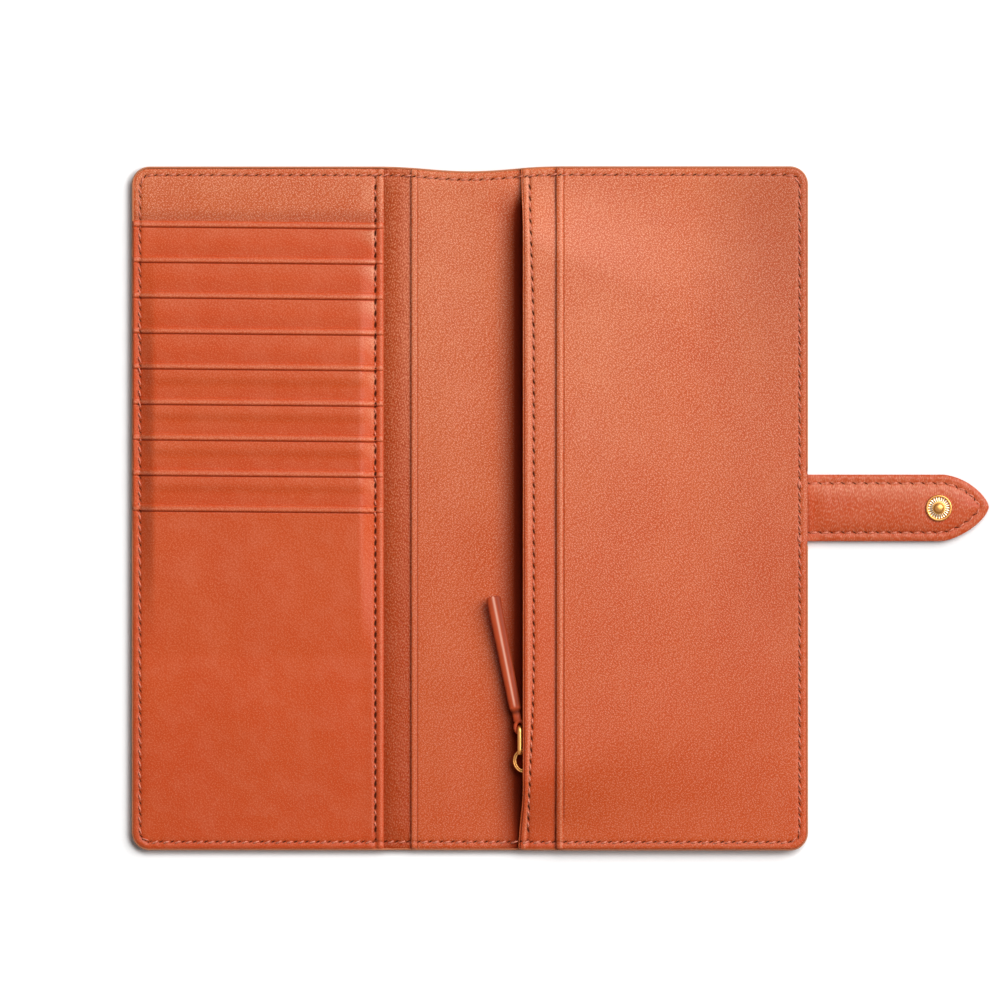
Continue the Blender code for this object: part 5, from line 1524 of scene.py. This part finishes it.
# The socket is a ring with a rolled mouth, and a floor that closes it inside the leather
socketProfile = [(2.6, 1.25), (2.6, 0.75), (2.8, 0.55), (4.6, 0.5), (4.9, 0.42), (5.0, 0.28), (4.9, 0.14),
                 (4.6, 0.08), (3.9, 0.16), (3.4, 0.2), (2.9, 0.12), (2.5, 0.06), (2.2, 0.1), (2.08, 0.3),
                 (2.08, 1.15)]
socketFloor = [(0.0, 1.33), (2.25, 1.33), (2.25, 1.28), (0.0, 1.27)]  # the closed stud's knob ends short of it
brassPiece("snap_stud_fluted", [turned(studAt, studProfile, 288, fluteLift)], "strap_tip", "snap_stud", studTone)
brassPiece("snap_cap_domed", [turned(studAt, capProfile, 72)], "strap_tip", "snap_cap")
brassPiece("snap_socket_ring", [turned(outer["socket"], socketProfile, 72, ring=True),
                                turned(outer["socket"], socketFloor, 72)], "front_cover", "snap_socket")

# The boards and the socket's back plate are sealed inside the covers
for name, finish in {"back_board": bondedBoard, "front_board": bondedBoard,
                     "snap_socket_plate": giltBrass}.items():
    node = frame["nodes"][name]
    node.data.materials.clear()
    node.data.materials.append(finish)
print("stage 11: snap")

# Floor and light


def seenDirectly(add):  # 1 for the camera and through clear things
    rays = add("LightPath")[0]
    seen = add("Math", [(rays, "Is Camera Ray"), (rays, "Is Transmission Ray")], operation="MAXIMUM")
    return rays, seen


def floorMaterial():
    # Matt white paper: takes the shadow, and a little of its own white for the camera alone
    material, add = startMaterial("matt_white_paper")
    fibre = add("TexNoise", {"Vector": add("TexCoord", out="Object"), "Scale": 1000 / 1.5})
    tint = add("Mix", {0: fibre, 6: toLinear("#F6F6F6"), 7: toLinear("#FAFAFA")}, **overlaid)
    paper = add("BsdfDiffuse", {"Color": tint, "Roughness": 0.3})
    # The white is kept off the shadow: the attribute grows with the distance from the wallet's outline
    clear = add("Attribute", out="Fac", attribute_name="clear")
    away = add("MapRange", [clear, 0.0, 1.0, *floorFacts["glow"]], **softly)
    glow = add("Emission", [(1, 1, 1, 1), add("Math", [seenDirectly(add)[1], away], **times)])
    add("OutputMaterial", [add("AddShader", [paper, glow])])
    return material


floorFacts = {"half": 3000.0, "strapShare": 0.36, "ramp": 2.6, "shift": 0.6, "near": 9.0, "cell": 0.6,
              "strapCell": 1.2, "glow": (0.05, 0.28)}


def outsideWallet(x, y):  # how far a floor point lies outside the open wallet's outline
    covers = np.maximum(-edgeDistance(x, y), 0)
    p, q = strap["pointPowers"]
    u, v = strapCurve(0.0)
    aside = np.abs(y - strapMiddle(x))
    point = np.hypot(x[..., None] - u[::4], aside[..., None] - v[::4]).min(axis=-1)
    inPoint = (np.maximum(x - u[0], 0) / strap["pointLength"]) ** p + (aside / strap["halfWidth"]) ** q < 1
    band = np.where(x < u[0], np.maximum(aside - strap["halfWidth"], 0), np.where(inPoint, 0, point))
    return np.minimum(covers, np.where(x > right - 5, band * floorFacts["strapShare"], 99.0))


half, near, cell = floorFacts["half"], floorFacts["near"], floorFacts["cell"]
columns = places([-half, -400], steps(left - near, left + near, cell), steps(right - near, right + near, cell),
                 steps(right + near, strap["tip"] + near, floorFacts["strapCell"]), [400, half])
reach = strap["halfWidth"] + near
rows = places([-half, -400], steps(-halfHeight - near, -halfHeight + near, cell),
              steps(strap["y"] - reach, strap["y"] + reach, floorFacts["strapCell"]),
              steps(halfHeight - near, halfHeight + near, cell), [400, half])
x, y = np.meshgrid(columns, rows)
clear = smoothStep(outsideWallet(x + floorFacts["shift"], y + floorFacts["shift"]) / floorFacts["ramp"])
clear = np.maximum(clear, smoothStep((edgeDistance(x, y) - 1.5) / 3))  # hidden until the wallet is folded
floor = putMesh("floor", stack(x, y, -0.02).reshape(-1, 3), [gridFaces(*x.shape)], floorMaterial(),
                {"clear": clear.ravel()})

lamps = {  # name: place in metres, size in metres, watts
    "key": ((1.69, 1.235, 2.665), 3.0, 156.0),   # from the upper right: shadows fall left and down
    "overhead": ((0.03, 0.2, 0.8), 0.2, 0.36),  # its soft mirror image is the sheen at the top of the page
}
for name, (place, size, power) in lamps.items():
    lamp = bpy.data.lights.new(name, "AREA")
    lamp.shape = "SQUARE"
    lamp.size = size
    lamp.energy = power
    lightObject = bpy.data.objects.new(name, lamp)
    lightObject.location = place
    lightObject.rotation_euler = (-Vector(place)).to_track_quat("-Z", "Y").to_euler()
    bpy.context.scene.collection.objects.link(lightObject)

room = {"diffuse": 0.05, "glossy": 0.5}  # what the walls and ceiling give; the camera itself sees white
world = bpy.data.worlds.new("soft_room")
bpy.context.scene.world = world
world.use_nodes = True
world.node_tree.nodes.clear()
add = functools.partial(addNode, world.node_tree)
rays, seen = seenDirectly(add)
glossy = add("Math", [(rays, "Is Glossy Ray"), room["glossy"]], **times)
strength = add("Math", [seen, 1 - room["diffuse"], room["diffuse"]], **timesPlus)
strength = add("Math", [glossy, strength], **plus)
add("OutputWorld", [add("Background", [(1, 1, 1, 1), strength])])
print("stage 12: floor and light")
